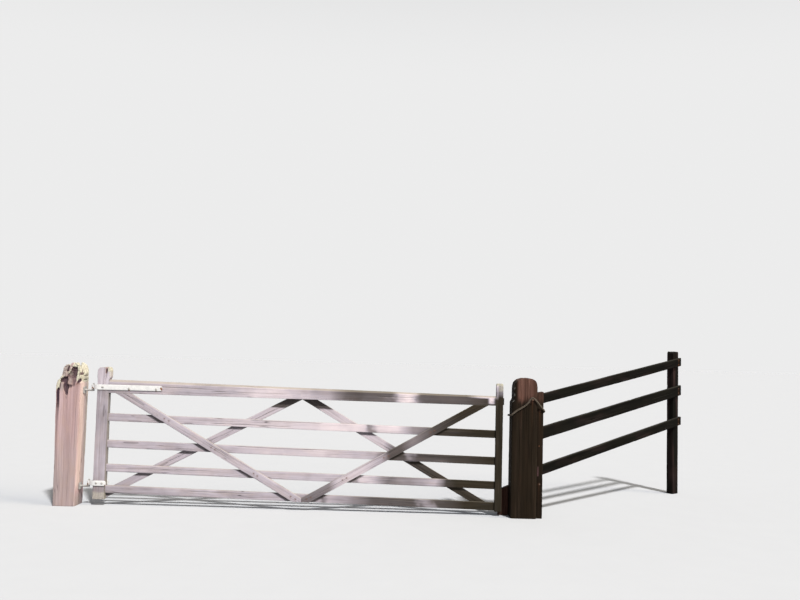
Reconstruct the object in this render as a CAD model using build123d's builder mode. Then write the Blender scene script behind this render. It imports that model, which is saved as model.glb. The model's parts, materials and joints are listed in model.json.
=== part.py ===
"""Timber field gate of the old five-barred kind, hung between two heavy posts,
with one bay of post-and-rail fence running back from the latch post.

Millimetres, +Z up.  The origin is the centre of the hanging post's foot at
ground level.  +X runs along the closed leaf towards the latch post, -Y is the
side the leaf opens towards.  The leaf has dropped at its head over the years,
so its stiles stand upright while the rails run downhill towards the latch.
"""
import os
from math import cos, radians, sin, tan

from build123d import *

# ------------------------------------------------------------------ sizes
# hanging post
HP = 240.0                 # square section
HP_TOP = 1485.0            # highest point of the decayed round top
HP_EASE = 10.0
# its left side bellies out a little where the sapwood has sprung
HP_LEFT = [(-119, 1305), (-133, 1266), (-138, 1235), (-138, 1205),
           (-133, 1075), (-133, 920), (-129, 760), (-120, 480)]

# latch post
LP_X0, LP_X1 = 4612.0, 4876.0
LP_HALF = 130.0            # half its depth in Y
LP_TOP = 1440.0            # crown of the rounded top
LP_STEP = 20.0             # worn back on its left, above the rope
LP_EASE = 14.0

# cleat on the outer side of the latch post, which takes the fence rails
BT_X1 = 4942.0
BT_Y0, BT_Y1 = -95.0, 45.0
BT_TOP = 1300.0
BT_EASE = 8.0

# leaf
LEAF_T = 75.0              # thickness of stiles and top rail
RAIL_T = 25.0              # thickness of the lower rails and the braces
HEEL_X0, HEEL_X1 = 266.0, 391.0
HEEL_Z0, HEEL_Z1 = 67.0, 1446.0
HEAD_X0, HEAD_X1 = 4457.0, 4530.0
HEAD_Z0, HEAD_Z1 = 47.0, 1376.0
RAIL_D = 82.0              # depth of the lower rails
BRACE_D = 81.0             # depth of the braces

# centre heights of the lower rails at the two stiles (heel, head)
RAILS = {
    "second": (918.0, 843.0),
    "third": (641.0, 565.0),
    "fourth": (392.0, 314.0),
    "bottom": (170.0, 97.0),
}
TOP_UP = (1311.0, 1238.0)  # upper edge of the top rail, heel and head
TOP_LO = (1171.0, 1141.0)  # lower edge of the top rail

TOP_CHAMFER = 20.0         # along its upper arrises

# hinges
PIVOT_X = 215.0
PIN_R = 9.5
EYE_R0, EYE_R1 = 10.5, 21.0
STRAP_T = 6.0
TOP_STRAP_Z = (1231.0, 1230.0)   # centre height at the stile and at the tip
TOP_STRAP_X1 = 950.0
TOP_STRAP_H = 55.0
BOT_STRAP_Z = 232.0
BOT_STRAP_X1 = 402.0
BOT_STRAP_H = 54.0
HOOK_GAP = 3.0                   # eye to shank, up and down

# fence bay
FENCE_AZ = 43.2            # degrees from +X
FENCE_RISE = 0.1500        # rise for each unit run, uphill
FENCE_T = 40.0
FENCE_BAY = 2740.0         # latch post cleat to the centre of the next post
FENCE_START = (BT_X1, -55.0)
FENCE_RAILS = {            # centre height at the cleat, depth
    "top": (1228.0, 104.0),
    "middle": (872.0, 128.0),
    "bottom": (490.0, 102.0),
}
FP_W, FP_D = 125.0, 90.0   # fence post, along and across the fence
FP_OVER = 91.0             # how far it stands above the top rail

# rope round the latch post
ROPE_R = 10.0
NAIL_X, NAIL_Z = 4821.0, 1218.0


def line(x0, z0, x1, z1):
    """Height and slope of a straight edge, as z = a + b*x."""
    b = (z1 - z0) / (x1 - x0)
    return z0 - b * x0, b


def at(edge, x):
    return edge[0] + edge[1] * x


def cross(e, f):
    """Where two edges meet."""
    x = (f[0] - e[0]) / (e[1] - f[1])
    return x, at(e, x)


def shift(edge, dz):
    return edge[0] + dz, edge[1]


rail_axis = {k: line(HEEL_X1, v[0], HEAD_X0, v[1]) for k, v in RAILS.items()}
top_upper = line(HEEL_X1, TOP_UP[0], HEAD_X0, TOP_UP[1])
top_lower = line(HEEL_X1, TOP_LO[0], HEAD_X0, TOP_LO[1])
bottom_lower = shift(rail_axis["bottom"], -RAIL_D / 2)

os.makedirs("parts", exist_ok=True)


def face_at(y_far):
    """Plane seen from the -Y side, at y = y_far; extrusions come forward."""
    return Plane.XZ.offset(-y_far)


# ------------------------------------------------------------ leaf: rails
rail_parts = {}
for key, axis in rail_axis.items():
    with BuildPart() as rail:
        with BuildSketch(face_at(RAIL_T / 2)):
            with BuildLine():
                Polyline(
                    (HEEL_X0, at(axis, HEEL_X0) - RAIL_D / 2),
                    (HEAD_X1, at(axis, HEAD_X1) - RAIL_D / 2),
                    (HEAD_X1, at(axis, HEAD_X1) + RAIL_D / 2),
                    (HEEL_X0, at(axis, HEEL_X0) + RAIL_D / 2),
                    close=True,
                )
            make_face()
        extrude(amount=RAIL_T)
    rail.part.label = f"{key}_rail"
    rail_parts[key] = rail.part

# top rail: deep at the heel, tapering to the head, with weathered upper
# arrises and a thin through tenon at each end
with BuildPart() as top_rail:
    with BuildSketch(face_at(LEAF_T / 2)):
        with BuildLine():
            Polyline(
                (HEEL_X1, at(top_lower, HEEL_X1)),
                (HEAD_X0, at(top_lower, HEAD_X0)),
                (HEAD_X0, at(top_upper, HEAD_X0)),
                (HEEL_X1, at(top_upper, HEEL_X1)),
                close=True,
            )
        make_face()
    extrude(amount=LEAF_T)
    upper_long = top_rail.edges().filter_by(
        lambda e: e.length > 3000 and e.center().Z > 1240
    )
    chamfer(upper_long, length=TOP_CHAMFER)
    with BuildSketch(face_at(RAIL_T / 2)):
        with BuildLine():
            Polyline(
                (HEEL_X0, at(top_lower, HEEL_X0) + 22),
                (HEEL_X1 + 20, at(top_lower, HEEL_X1 + 20) + 22),
                (HEEL_X1 + 20, at(top_upper, HEEL_X1 + 20) - 26),
                (HEEL_X0, at(top_upper, HEEL_X0) - 26),
                close=True,
            )
        make_face()
        with BuildLine():
            Polyline(
                (HEAD_X0 - 20, at(top_lower, HEAD_X0 - 20) + 8),
                (HEAD_X1 + 12, at(top_lower, HEAD_X1 + 12) + 8),
                (HEAD_X1 + 12, at(top_upper, HEAD_X1 + 12) - 14),
                (HEAD_X0 - 20, at(top_upper, HEAD_X0 - 20) - 14),
                close=True,
            )
        make_face()
    extrude(amount=RAIL_T)
top_rail.part.label = "top_rail"

# ----------------------------------------------------------- leaf: stiles
with BuildPart() as hanging_stile:
    with BuildSketch(face_at(LEAF_T / 2)):
        with BuildLine():
            Polyline(
                (HEEL_X0, HEEL_Z0),
                (HEEL_X1, HEEL_Z0),
                (HEEL_X1, HEEL_Z1 - 130),
                (HEEL_X1 + 11, HEEL_Z1 - 108),
                (HEEL_X1 + 13, HEEL_Z1 - 30),
                (HEEL_X1 + 6, HEEL_Z1 - 8),
                (HEEL_X1 - 12, HEEL_Z1),
                (HEEL_X0 + 32, HEEL_Z1 - 3),
                (HEEL_X0 + 6, HEEL_Z1 - 24),
                (HEEL_X0 - 5, HEEL_Z1 - 54),
                (HEEL_X0 - 5, HEEL_Z1 - 104),
                (HEEL_X0, HEEL_Z1 - 142),
                close=True,
            )
        make_face()
    extrude(amount=LEAF_T)
    upright = hanging_stile.edges().filter_by(Axis.Z).filter_by(
        lambda e: e.length > 1000
    )
    chamfer(upright, length=3)
    for piece in rail_parts.values():
        add(piece, mode=Mode.SUBTRACT)
    add(top_rail.part, mode=Mode.SUBTRACT)
hanging_stile.part.label = "hanging_stile"

with BuildPart() as head_stile:
    with BuildSketch(face_at(LEAF_T / 2)):
        with BuildLine():
            Polyline(
                (HEAD_X0, HEAD_Z0),
                (HEAD_X1, HEAD_Z0),
                (HEAD_X1, HEAD_Z1 - 10),
                (HEAD_X1 - 14, HEAD_Z1),
                (HEAD_X0 + 10, HEAD_Z1 - 2),
                (HEAD_X0, HEAD_Z1 - 12),
                close=True,
            )
        make_face()
    extrude(amount=LEAF_T)
    upright = head_stile.edges().filter_by(Axis.Z).filter_by(
        lambda e: e.length > 1000
    )
    chamfer(upright, length=3)
    for piece in rail_parts.values():
        add(piece, mode=Mode.SUBTRACT)
    add(top_rail.part, mode=Mode.SUBTRACT)
head_stile.part.label = "head_stile"

# ----------------------------------------------------------- leaf: braces
# in front of the rails a V, nailed across them; behind them its reverse
half_f = BRACE_D / 2 / cos(radians(29.7))
half_bl = BRACE_D / 2 / cos(radians(27.9))
half_br = BRACE_D / 2 / cos(radians(29.6))
front_l = (1481.2, -0.570)
front_r = (-1306.9, 0.570)
back_l = (-83.3, 0.5285)
back_r = (2571.1, -0.5677)
V_FOOT_X = cross(front_l, front_r)[0]
V_HEAD_X = 2421.0

with BuildPart() as front_brace_hinge_side:
    up, lo = shift(front_l, half_f), shift(front_l, -half_f)
    with BuildSketch(face_at(-RAIL_T / 2)):
        with BuildLine():
            Polyline(
                cross(lo, top_lower),
                cross(up, top_lower),
                (V_FOOT_X, at(up, V_FOOT_X)),
                (V_FOOT_X, at(bottom_lower, V_FOOT_X)),
                cross(lo, bottom_lower),
                close=True,
            )
        make_face()
    extrude(amount=RAIL_T)
front_brace_hinge_side.part.label = "front_brace_hinge_side"

with BuildPart() as front_brace_latch_side:
    up, lo = shift(front_r, half_f), shift(front_r, -half_f)
    with BuildSketch(face_at(-RAIL_T / 2)):
        with BuildLine():
            Polyline(
                cross(lo, top_lower),
                cross(up, top_lower),
                (V_FOOT_X, at(up, V_FOOT_X)),
                (V_FOOT_X, at(bottom_lower, V_FOOT_X)),
                cross(lo, bottom_lower),
                close=True,
            )
        make_face()
    extrude(amount=RAIL_T)
front_brace_latch_side.part.label = "front_brace_latch_side"

with BuildPart() as back_brace_hinge_side:
    up, lo = shift(back_l, half_bl), shift(back_l, -half_bl)
    with BuildSketch(face_at(RAIL_T * 1.5)):
        with BuildLine():
            Polyline(
                (HEEL_X1, at(lo, HEEL_X1)),
                (V_HEAD_X, at(lo, V_HEAD_X)),
                (V_HEAD_X, at(top_lower, V_HEAD_X)),
                cross(up, top_lower),
                (HEEL_X1, at(up, HEEL_X1)),
                close=True,
            )
        make_face()
    extrude(amount=RAIL_T)
back_brace_hinge_side.part.label = "back_brace_hinge_side"

with BuildPart() as back_brace_latch_side:
    up, lo = shift(back_r, half_br), shift(back_r, -half_br)
    with BuildSketch(face_at(RAIL_T * 1.5)):
        with BuildLine():
            Polyline(
                (V_HEAD_X, at(lo, V_HEAD_X)),
                (V_HEAD_X, at(top_lower, V_HEAD_X)),
                cross(up, top_lower),
                (HEAD_X0, at(up, HEAD_X0)),
                (HEAD_X0, at(bottom_lower, HEAD_X0)),
                cross(lo, bottom_lower),
                close=True,
            )
        make_face()
    extrude(amount=RAIL_T)
back_brace_latch_side.part.label = "back_brace_latch_side"

# ---------------------------------------------------------------- hinges
# Each hinge is a forged band: an eye round the pin and two arms that grip
# the stile, front and back.  The upper one runs out along the top rail.
top_strap = line(HEEL_X0, TOP_STRAP_Z[0], TOP_STRAP_X1, TOP_STRAP_Z[1])
y_in, y_out = LEAF_T / 2, LEAF_T / 2 + STRAP_T
EYE_H = 44.0
top_eye_z0 = at(top_strap, PIVOT_X) - EYE_H / 2
bot_eye_z0 = BOT_STRAP_Z - EYE_H / 2

with BuildPart() as top_hinge_band:
    with BuildSketch(Plane.XY.offset(top_eye_z0)):
        with Locations((PIVOT_X, 0)):
            Circle(EYE_R1)
        for s in (-1, 1):
            with BuildLine():
                Polyline(
                    (PIVOT_X - 1, s * EYE_R1),
                    (258, s * y_out),
                    (HEEL_X0 + 14, s * y_out),
                    (HEEL_X0 + 14, s * y_in),
                    (HEEL_X0 - 3, s * y_in),
                    (PIVOT_X + 6, s * (EYE_R1 - 7)),
                    close=True,
                )
            make_face()
        with Locations((PIVOT_X, 0)):
            Circle(EYE_R0, mode=Mode.SUBTRACT)
    extrude(amount=EYE_H)
    for far in (y_out, -y_in):
        with BuildSketch(face_at(far)):
            with BuildLine():
                Polyline(
                    (HEEL_X0, at(top_strap, HEEL_X0) - TOP_STRAP_H / 2),
                    (TOP_STRAP_X1 - 16,
                     at(top_strap, TOP_STRAP_X1 - 16) - TOP_STRAP_H / 2),
                    (TOP_STRAP_X1, at(top_strap, TOP_STRAP_X1) - 12),
                    (TOP_STRAP_X1, at(top_strap, TOP_STRAP_X1) + 12),
                    (TOP_STRAP_X1 - 16,
                     at(top_strap, TOP_STRAP_X1 - 16) + TOP_STRAP_H / 2),
                    (HEEL_X0, at(top_strap, HEEL_X0) + TOP_STRAP_H / 2),
                    close=True,
                )
            make_face()
        extrude(amount=STRAP_T)
top_hinge_band.part.label = "top_hinge_band"

with BuildPart() as bottom_hinge_band:
    with BuildSketch(Plane.XY.offset(bot_eye_z0)):
        with Locations((PIVOT_X, 0)):
            Circle(EYE_R1)
        for s in (-1, 1):
            with BuildLine():
                Polyline(
                    (PIVOT_X - 1, s * EYE_R1),
                    (258, s * y_out),
                    (HEEL_X0 + 14, s * y_out),
                    (HEEL_X0 + 14, s * y_in),
                    (HEEL_X0 - 3, s * y_in),
                    (PIVOT_X + 6, s * (EYE_R1 - 7)),
                    close=True,
                )
            make_face()
        with Locations((PIVOT_X, 0)):
            Circle(EYE_R0, mode=Mode.SUBTRACT)
    extrude(amount=EYE_H)
    for far in (y_out, -y_in):
        with BuildSketch(face_at(far)):
            with BuildLine():
                Polyline(
                    (HEEL_X0, BOT_STRAP_Z - BOT_STRAP_H / 2),
                    (BOT_STRAP_X1 - 8, BOT_STRAP_Z - BOT_STRAP_H / 2),
                    (BOT_STRAP_X1, BOT_STRAP_Z - BOT_STRAP_H / 2 + 8),
                    (BOT_STRAP_X1, BOT_STRAP_Z + BOT_STRAP_H / 2 - 8),
                    (BOT_STRAP_X1 - 8, BOT_STRAP_Z + BOT_STRAP_H / 2),
                    (HEEL_X0, BOT_STRAP_Z + BOT_STRAP_H / 2),
                    close=True,
                )
            make_face()
        extrude(amount=STRAP_T)
bottom_hinge_band.part.label = "bottom_hinge_band"

# Hooks: an upright pin on a spike that is driven into the post as far as a
# square shoulder plate.
SHANK_R = 11.0
SPIKE_DEEP = 110.0
hooks = {}
for key, eye_z0 in (("top", top_eye_z0), ("bottom", bot_eye_z0)):
    shank_z = eye_z0 - HOOK_GAP - SHANK_R
    with BuildPart() as hook:
        with BuildSketch(Plane.YZ.offset(HP / 2 - SPIKE_DEEP)):
            with Locations((0, shank_z)):
                Circle(SHANK_R)
        extrude(amount=PIVOT_X - (HP / 2 - SPIKE_DEEP))
        with Locations((PIVOT_X, 0, shank_z)):
            Sphere(SHANK_R)
        with BuildSketch(Plane.XY.offset(shank_z)):
            with Locations((PIVOT_X, 0)):
                Circle(PIN_R)
        extrude(amount=HOOK_GAP + SHANK_R + EYE_H + 16)
        chamfer(hook.faces().sort_by(Axis.Z)[-1].edges(), length=3)
        with BuildSketch(Plane.YZ.offset(HP / 2)):
            with Locations((0, shank_z)):
                RectangleRounded(70, 70, 6)
        extrude(amount=7)
    hook.part.label = f"{key}_hook"
    hooks[key] = (hook.part, shank_z)

# ----------------------------------------------------------------- posts
with BuildPart() as hanging_post:
    with BuildSketch(face_at(HP / 2)):
        with BuildLine():
            Polyline(
                (-HP / 2, 0), (HP / 2, 0), (HP / 2, 1385),
                # outline of the decayed head, from the right over to the left
                (113, 1426), (96, 1459), (70, 1479), (46, HP_TOP),
                (0, 1479), (-42, 1465), (-59, 1450), (-67, 1425),
                (-84, 1352), (-99, 1327),
                # slab that has sprung away down the left side
                *HP_LEFT,
                close=True,
            )
        make_face()
    extrude(amount=HP)
    corner = hanging_post.edges().filter_by(
        lambda e: abs(abs(e.center().Y) - HP / 2) < 0.1 and e.length > 50
        and abs(e.center().X) > HP / 2 - 0.1 and 100 < e.center().Z < 1260
    )
    fillet(corner, radius=HP_EASE)
    for _, z in hooks.values():
        with BuildSketch(Plane.YZ.offset(HP / 2)):
            with Locations((0, z)):
                Circle(SHANK_R + 0.3)
        extrude(amount=-(SPIKE_DEEP + 1), mode=Mode.SUBTRACT)
hanging_post.part.label = "hanging_post"

with BuildPart() as latch_post:
    with BuildSketch(face_at(LP_HALF)):
        with BuildLine():
            Polyline(
                (LP_X0 + LP_STEP, 1335), (LP_X0 + LP_STEP, 1226),
                (LP_X0, 1180), (LP_X0, 0), (LP_X1, 0), (LP_X1, 1345),
            )
            Spline(
                (LP_X1, 1345), (4854, 1413), (4795, LP_TOP),
                tangents=[(0, 1), (-1, 0)],
            )
            Line((4795, LP_TOP), (4735, LP_TOP))
            Spline(
                (4735, LP_TOP), (4663, 1410), (LP_X0 + LP_STEP, 1335),
                tangents=[(-1, 0), (0, -1)],
            )
        make_face()
    extrude(amount=2 * LP_HALF)
    outline = latch_post.edges().filter_by(
        lambda e: abs(abs(e.center().Y) - LP_HALF) < 0.1 and e.center().Z > 1
    )
    fillet(outline, radius=LP_EASE)
    # hole for the nail
    with BuildSketch(face_at(-LP_HALF + 60)):
        with Locations((NAIL_X, NAIL_Z)):
            Circle(5.2)
    extrude(amount=80, mode=Mode.SUBTRACT)
latch_post.part.label = "latch_post"

with BuildPart() as rope_nail:
    with BuildSketch(face_at(-LP_HALF + 59)):
        with Locations((NAIL_X, NAIL_Z)):
            Circle(5)
    extrude(amount=59 + 34)
    with BuildSketch(face_at(-LP_HALF - 30)):
        with Locations((NAIL_X, NAIL_Z)):
            Circle(9)
    extrude(amount=5)
rope_nail.part.label = "rope_nail"

# block at the foot of the latch post, against which the leaf's head rests
with BuildPart() as gate_stop_block:
    with BuildSketch(face_at(122)):
        with BuildLine():
            Polyline(
                (4500, 0), (LP_X0, 0), (LP_X0, 306), (4566, 288), (4506, 252),
                (4500, 236), close=True,
            )
        make_face()
    extrude(amount=122 - 45)
    chamfer(
        gate_stop_block.edges().filter_by(Axis.Y).sort_by(Axis.Z)[-1:], length=2
    )
gate_stop_block.part.label = "gate_stop_block"

# ------------------------------------------------------------- fence bay
run = Vector(cos(radians(FENCE_AZ)), sin(radians(FENCE_AZ)), 0)
side = Vector(sin(radians(FENCE_AZ)), -cos(radians(FENCE_AZ)), 0)  # to the road
fence_plane = Plane(
    origin=(FENCE_START[0], FENCE_START[1], 0), x_dir=run, z_dir=side
)

fence_parts = {}
for key, (zc, depth) in FENCE_RAILS.items():
    s0, s1 = -150.0, FENCE_BAY + FP_W / 2 - 4
    with BuildPart() as fence_rail:
        with BuildSketch(fence_plane):
            with BuildLine():
                Polyline(
                    (s0, zc + FENCE_RISE * s0 - depth / 2),
                    (s1, zc + FENCE_RISE * s1 - depth / 2),
                    (s1, zc + FENCE_RISE * s1 + depth / 2),
                    (s0, zc + FENCE_RISE * s0 + depth / 2),
                    close=True,
                )
            make_face()
        extrude(amount=-FENCE_T)
        if key == "bottom":
            # this one runs on through the cleat and is cut off at its face
            split(bisect_by=Plane.YZ.offset(LP_X1 + 4), keep=Keep.TOP)
            split(bisect_by=Plane.XZ.offset(-BT_Y0), keep=Keep.BOTTOM)
        else:
            split(bisect_by=Plane.YZ.offset(BT_X1 - 30), keep=Keep.TOP)
    fence_rail.part.label = f"fence_rail_{key}"
    fence_parts[key] = fence_rail.part

with BuildPart() as latch_post_batten:
    with BuildSketch(face_at(BT_Y1)):
        with BuildLine():
            Polyline(
                (LP_X1, 0), (BT_X1, 0), (BT_X1, BT_TOP - 16),
                (BT_X1 - 12, BT_TOP - 2), (LP_X1, BT_TOP), close=True,
            )
        make_face()
    extrude(amount=BT_Y1 - BT_Y0)
    outer = (
        latch_post_batten.edges().filter_by(Axis.Z).filter_by(
            lambda e: e.center().X > BT_X1 - 1
        )
    )
    fillet(outer, radius=BT_EASE)
    for piece in fence_parts.values():
        add(piece, mode=Mode.SUBTRACT)
latch_post_batten.part.label = "latch_post_batten"

fp_top = (
    FENCE_RAILS["top"][0] + FENCE_RAILS["top"][1] / 2
    + FENCE_RISE * FENCE_BAY + FP_OVER
)
with BuildPart() as fence_post:
    with BuildSketch(
        Plane(
            origin=Vector(FENCE_START[0], FENCE_START[1], 0)
            - side * FENCE_T + run * FENCE_BAY,
            x_dir=run, z_dir=side,
        )
    ):
        with BuildLine():
            Polyline(
                (-FP_W / 2, 0), (FP_W / 2, 0), (FP_W / 2, fp_top - 12),
                (FP_W / 2 - 20, fp_top), (-FP_W / 2 + 20, fp_top - 6),
                (-FP_W / 2, fp_top - 22), close=True,
            )
        make_face()
    extrude(amount=-FP_D)
    tall = fence_post.edges().filter_by(Axis.Z).filter_by(
        lambda e: e.length > 1000
    )
    fillet(tall, radius=5)
fence_post.part.label = "fence_post"

# ------------------------------------------------------------------ rope
# a closed loop that lies round the latch post and its cleat, hooked up over
# the nail at the front
off = ROPE_R + 0.6
k = off
route = [
    (LP_X0 - k, -LP_HALF - k, 1052),          # hinge-side front corner
    (4650, -LP_HALF - k, 1097),
    (4705, -LP_HALF - k, 1128),
    (4775, -LP_HALF - k, 1175),
    (4818, -LP_HALF - k, 1246),               # over the nail
    (LP_X1 + 3, -LP_HALF - k, 1184),
    (BT_X1 + k, BT_Y0 - k + 2, 1100),         # cleat, front
    (BT_X1 + k, BT_Y1 + k, 1074),             # cleat, back
    (LP_X1 + 6, LP_HALF + k, 1056),
    (LP_X0 - k, LP_HALF + k, 1038),           # hinge-side back corner
]
rope_radii = [24, 100, 200, 90, 17, 60, 22, 24, 26, 24]


def between(p, q, share):
    return tuple(a + (b - a) * share for a, b in zip(p, q))


front_join = between(route[2], route[3], 0.5)
back_join = between(route[8], route[9], 0.5)
halves = [
    ([front_join, *route[3:9], back_join], rope_radii[3:9]),
    ([back_join, route[9], *route[0:3], front_join],
     [rope_radii[9], *rope_radii[0:3]]),
]
rope_length = 0.0
with BuildPart() as rope_loop:
    for points, radii in halves:
        with BuildLine() as rope_path:
            FilletPolyline(*points, radius=radii)
        rope_wire = rope_path.wires()[0]
        rope_length += rope_wire.length
        with BuildSketch(Plane(origin=rope_wire @ 0, z_dir=rope_wire % 0)):
            Circle(ROPE_R)
        sweep(path=rope_wire)
rope_loop.part.label = "rope_loop"

# ---------------------------------------------------------------- export
pieces = [
    hanging_post.part, latch_post.part, latch_post_batten.part,
    gate_stop_block.part, hooks["top"][0], hooks["bottom"][0],
    rope_loop.part, rope_nail.part, fence_post.part,
    *fence_parts.values(),
    hanging_stile.part, head_stile.part, top_rail.part,
    *rail_parts.values(),
    front_brace_hinge_side.part, front_brace_latch_side.part,
    back_brace_hinge_side.part, back_brace_latch_side.part,
    top_hinge_band.part, bottom_hinge_band.part,
]
for piece in pieces:
    export_step(piece, f"parts/{piece.label}.step")

print("rope length along its centre, mm:", round(rope_length, 1))
print("pieces:", len(pieces))
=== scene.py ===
"""Looks for an old timber field gate with its two posts and one fence bay.

Every timber is a mesh of its own: a rounded section swept along the grain, with
worn arrises, nicks, shakes and rough ends.  Metres, in the frame of the model.
"""
import json
import math
import random

import bmesh
import bpy
import numpy as np
from mathutils import Matrix, Vector


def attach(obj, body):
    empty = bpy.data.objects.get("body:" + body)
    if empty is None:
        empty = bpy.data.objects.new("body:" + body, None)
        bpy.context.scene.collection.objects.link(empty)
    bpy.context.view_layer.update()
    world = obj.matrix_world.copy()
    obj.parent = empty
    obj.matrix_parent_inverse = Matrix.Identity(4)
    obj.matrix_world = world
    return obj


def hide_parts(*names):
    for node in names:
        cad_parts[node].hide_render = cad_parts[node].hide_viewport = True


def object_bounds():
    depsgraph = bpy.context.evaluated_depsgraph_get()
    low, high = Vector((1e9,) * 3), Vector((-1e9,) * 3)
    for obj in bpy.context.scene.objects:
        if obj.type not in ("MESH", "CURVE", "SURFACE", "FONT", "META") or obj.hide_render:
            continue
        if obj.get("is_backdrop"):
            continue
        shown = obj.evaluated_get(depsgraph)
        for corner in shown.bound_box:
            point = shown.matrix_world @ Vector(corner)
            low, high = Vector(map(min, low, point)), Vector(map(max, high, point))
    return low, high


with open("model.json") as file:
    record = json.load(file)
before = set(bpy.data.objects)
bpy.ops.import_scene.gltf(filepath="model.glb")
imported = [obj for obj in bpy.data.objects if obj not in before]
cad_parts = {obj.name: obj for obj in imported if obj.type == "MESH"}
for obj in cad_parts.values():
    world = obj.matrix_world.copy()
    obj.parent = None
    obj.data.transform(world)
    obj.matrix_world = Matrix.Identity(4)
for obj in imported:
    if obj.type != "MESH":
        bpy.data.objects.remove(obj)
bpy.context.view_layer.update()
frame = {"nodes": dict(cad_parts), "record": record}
NODES = frame["nodes"]
BODY_OF = {n: b for b, ns in frame["record"]["behaviour"]["bodies"].items() for n in ns}

# ---------------------------------------------------------------- noise


def _hash(ix, iy, iz, seed):
    n = (ix * 374761393 + iy * 668265263 + iz * 1440662683 + seed * 974711) & 0xFFFFFFFF
    n = ((n ^ (n >> 13)) * 1274126177) & 0xFFFFFFFF
    n = ((n ^ (n >> 15)) * 461845907) & 0xFFFFFFFF
    return ((n ^ (n >> 16)) & 0xFFFF) / 65535.0


def vnoise(p, seed=0):
    """Smooth value noise from 0 to 1 at points p, an array of shape (..., 3)."""
    i = np.floor(p).astype(np.int64)
    f = p - i
    f = f * f * (3 - 2 * f)
    x, y, z = i[..., 0], i[..., 1], i[..., 2]
    u, v, w = f[..., 0], f[..., 1], f[..., 2]
    out = 0
    for dx in (0, 1):
        for dy in (0, 1):
            for dz in (0, 1):
                wt = (u if dx else 1 - u) * (v if dy else 1 - v) * (w if dz else 1 - w)
                out = out + wt * _hash(x + dx, y + dy, z + dz, seed)
    return out


def fbm(p, seed=0, octaves=3):
    out, amp, tot = 0, 1.0, 0
    for k in range(octaves):
        out = out + amp * vnoise(p * 2.03 ** k, seed + 17 * k)
        tot += amp
        amp *= 0.5
    return out / tot


def lumps(p, seed=0):
    """Broken cubes: 0 on the lines between them, about 1 in their middles."""
    i = np.floor(p).astype(np.int64)
    f1 = np.full(p.shape[:-1], 9.0)
    f2 = np.full(p.shape[:-1], 9.0)
    for dx in (-1, 0, 1):
        for dy in (-1, 0, 1):
            for dz in (-1, 0, 1):
                c = i + np.array((dx, dy, dz))
                q = np.stack([c[..., k] + 0.15 + 0.7 * _hash(c[..., 0], c[..., 1], c[..., 2], seed + 31 * k)
                              for k in range(3)], -1)
                d = np.sqrt(((q - p) ** 2).sum(-1))
                f2 = np.minimum(f2, np.maximum(d, f1))
                f1 = np.minimum(f1, d)
    return np.clip((f2 - f1) / 0.45, 0, 1)


def smooth(x, lo, hi):
    t = np.clip((x - lo) / (hi - lo), 0, 1)
    return t * t * (3 - 2 * t)


def stack(*parts):
    return np.stack(np.broadcast_arrays(*parts), -1)


def within(x, z, pts):
    """How far inside an outline of (x, z) points a place is; negative outside."""
    best = np.full(np.shape(x), 9.0)
    odd = np.zeros(np.shape(x), bool)
    for (x0, z0), (x1, z1) in zip(pts, pts[1:] + pts[:1]):
        ex, ez = x1 - x0, z1 - z0
        t = np.clip(((x - x0) * ex + (z - z0) * ez) / (ex * ex + ez * ez), 0, 1)
        best = np.minimum(best, np.hypot(x - x0 - t * ex, z - z0 - t * ez))
        odd = odd ^ (((z0 > z) != (z1 > z)) & (x < x0 + (z - z0) / (ez if ez else 1e-9) * ex))
    return np.where(odd, best, -best)


# ------------------------------------------------------------- mesh making


def make_object(name, verts, faces, mat, attrs=None, smooth_shade=True):
    mesh = bpy.data.meshes.new(name)
    mesh.from_pydata([tuple(v) for v in verts], [], faces)
    mesh.update()
    attrs = dict(attrs or {})
    normals = np.zeros(len(mesh.vertices) * 3, np.float32)
    mesh.vertices.foreach_get("normal", normals)
    attrs["up"] = normals.reshape(-1, 3)[:, 2]
    for key, data in attrs.items():
        data = np.asarray(data, np.float32)
        if data.ndim == 2:
            at = mesh.attributes.new(key, "FLOAT_VECTOR", "POINT")
            at.data.foreach_set("vector", data.ravel())
        else:
            at = mesh.attributes.new(key, "FLOAT", "POINT")
            at.data.foreach_set("value", data.ravel())
    if smooth_shade:
        mesh.polygons.foreach_set("use_smooth", [True] * len(mesh.polygons))
    obj = bpy.data.objects.new(name, mesh)
    bpy.context.scene.collection.objects.link(obj)
    mesh.materials.append(mat)
    return obj


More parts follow.
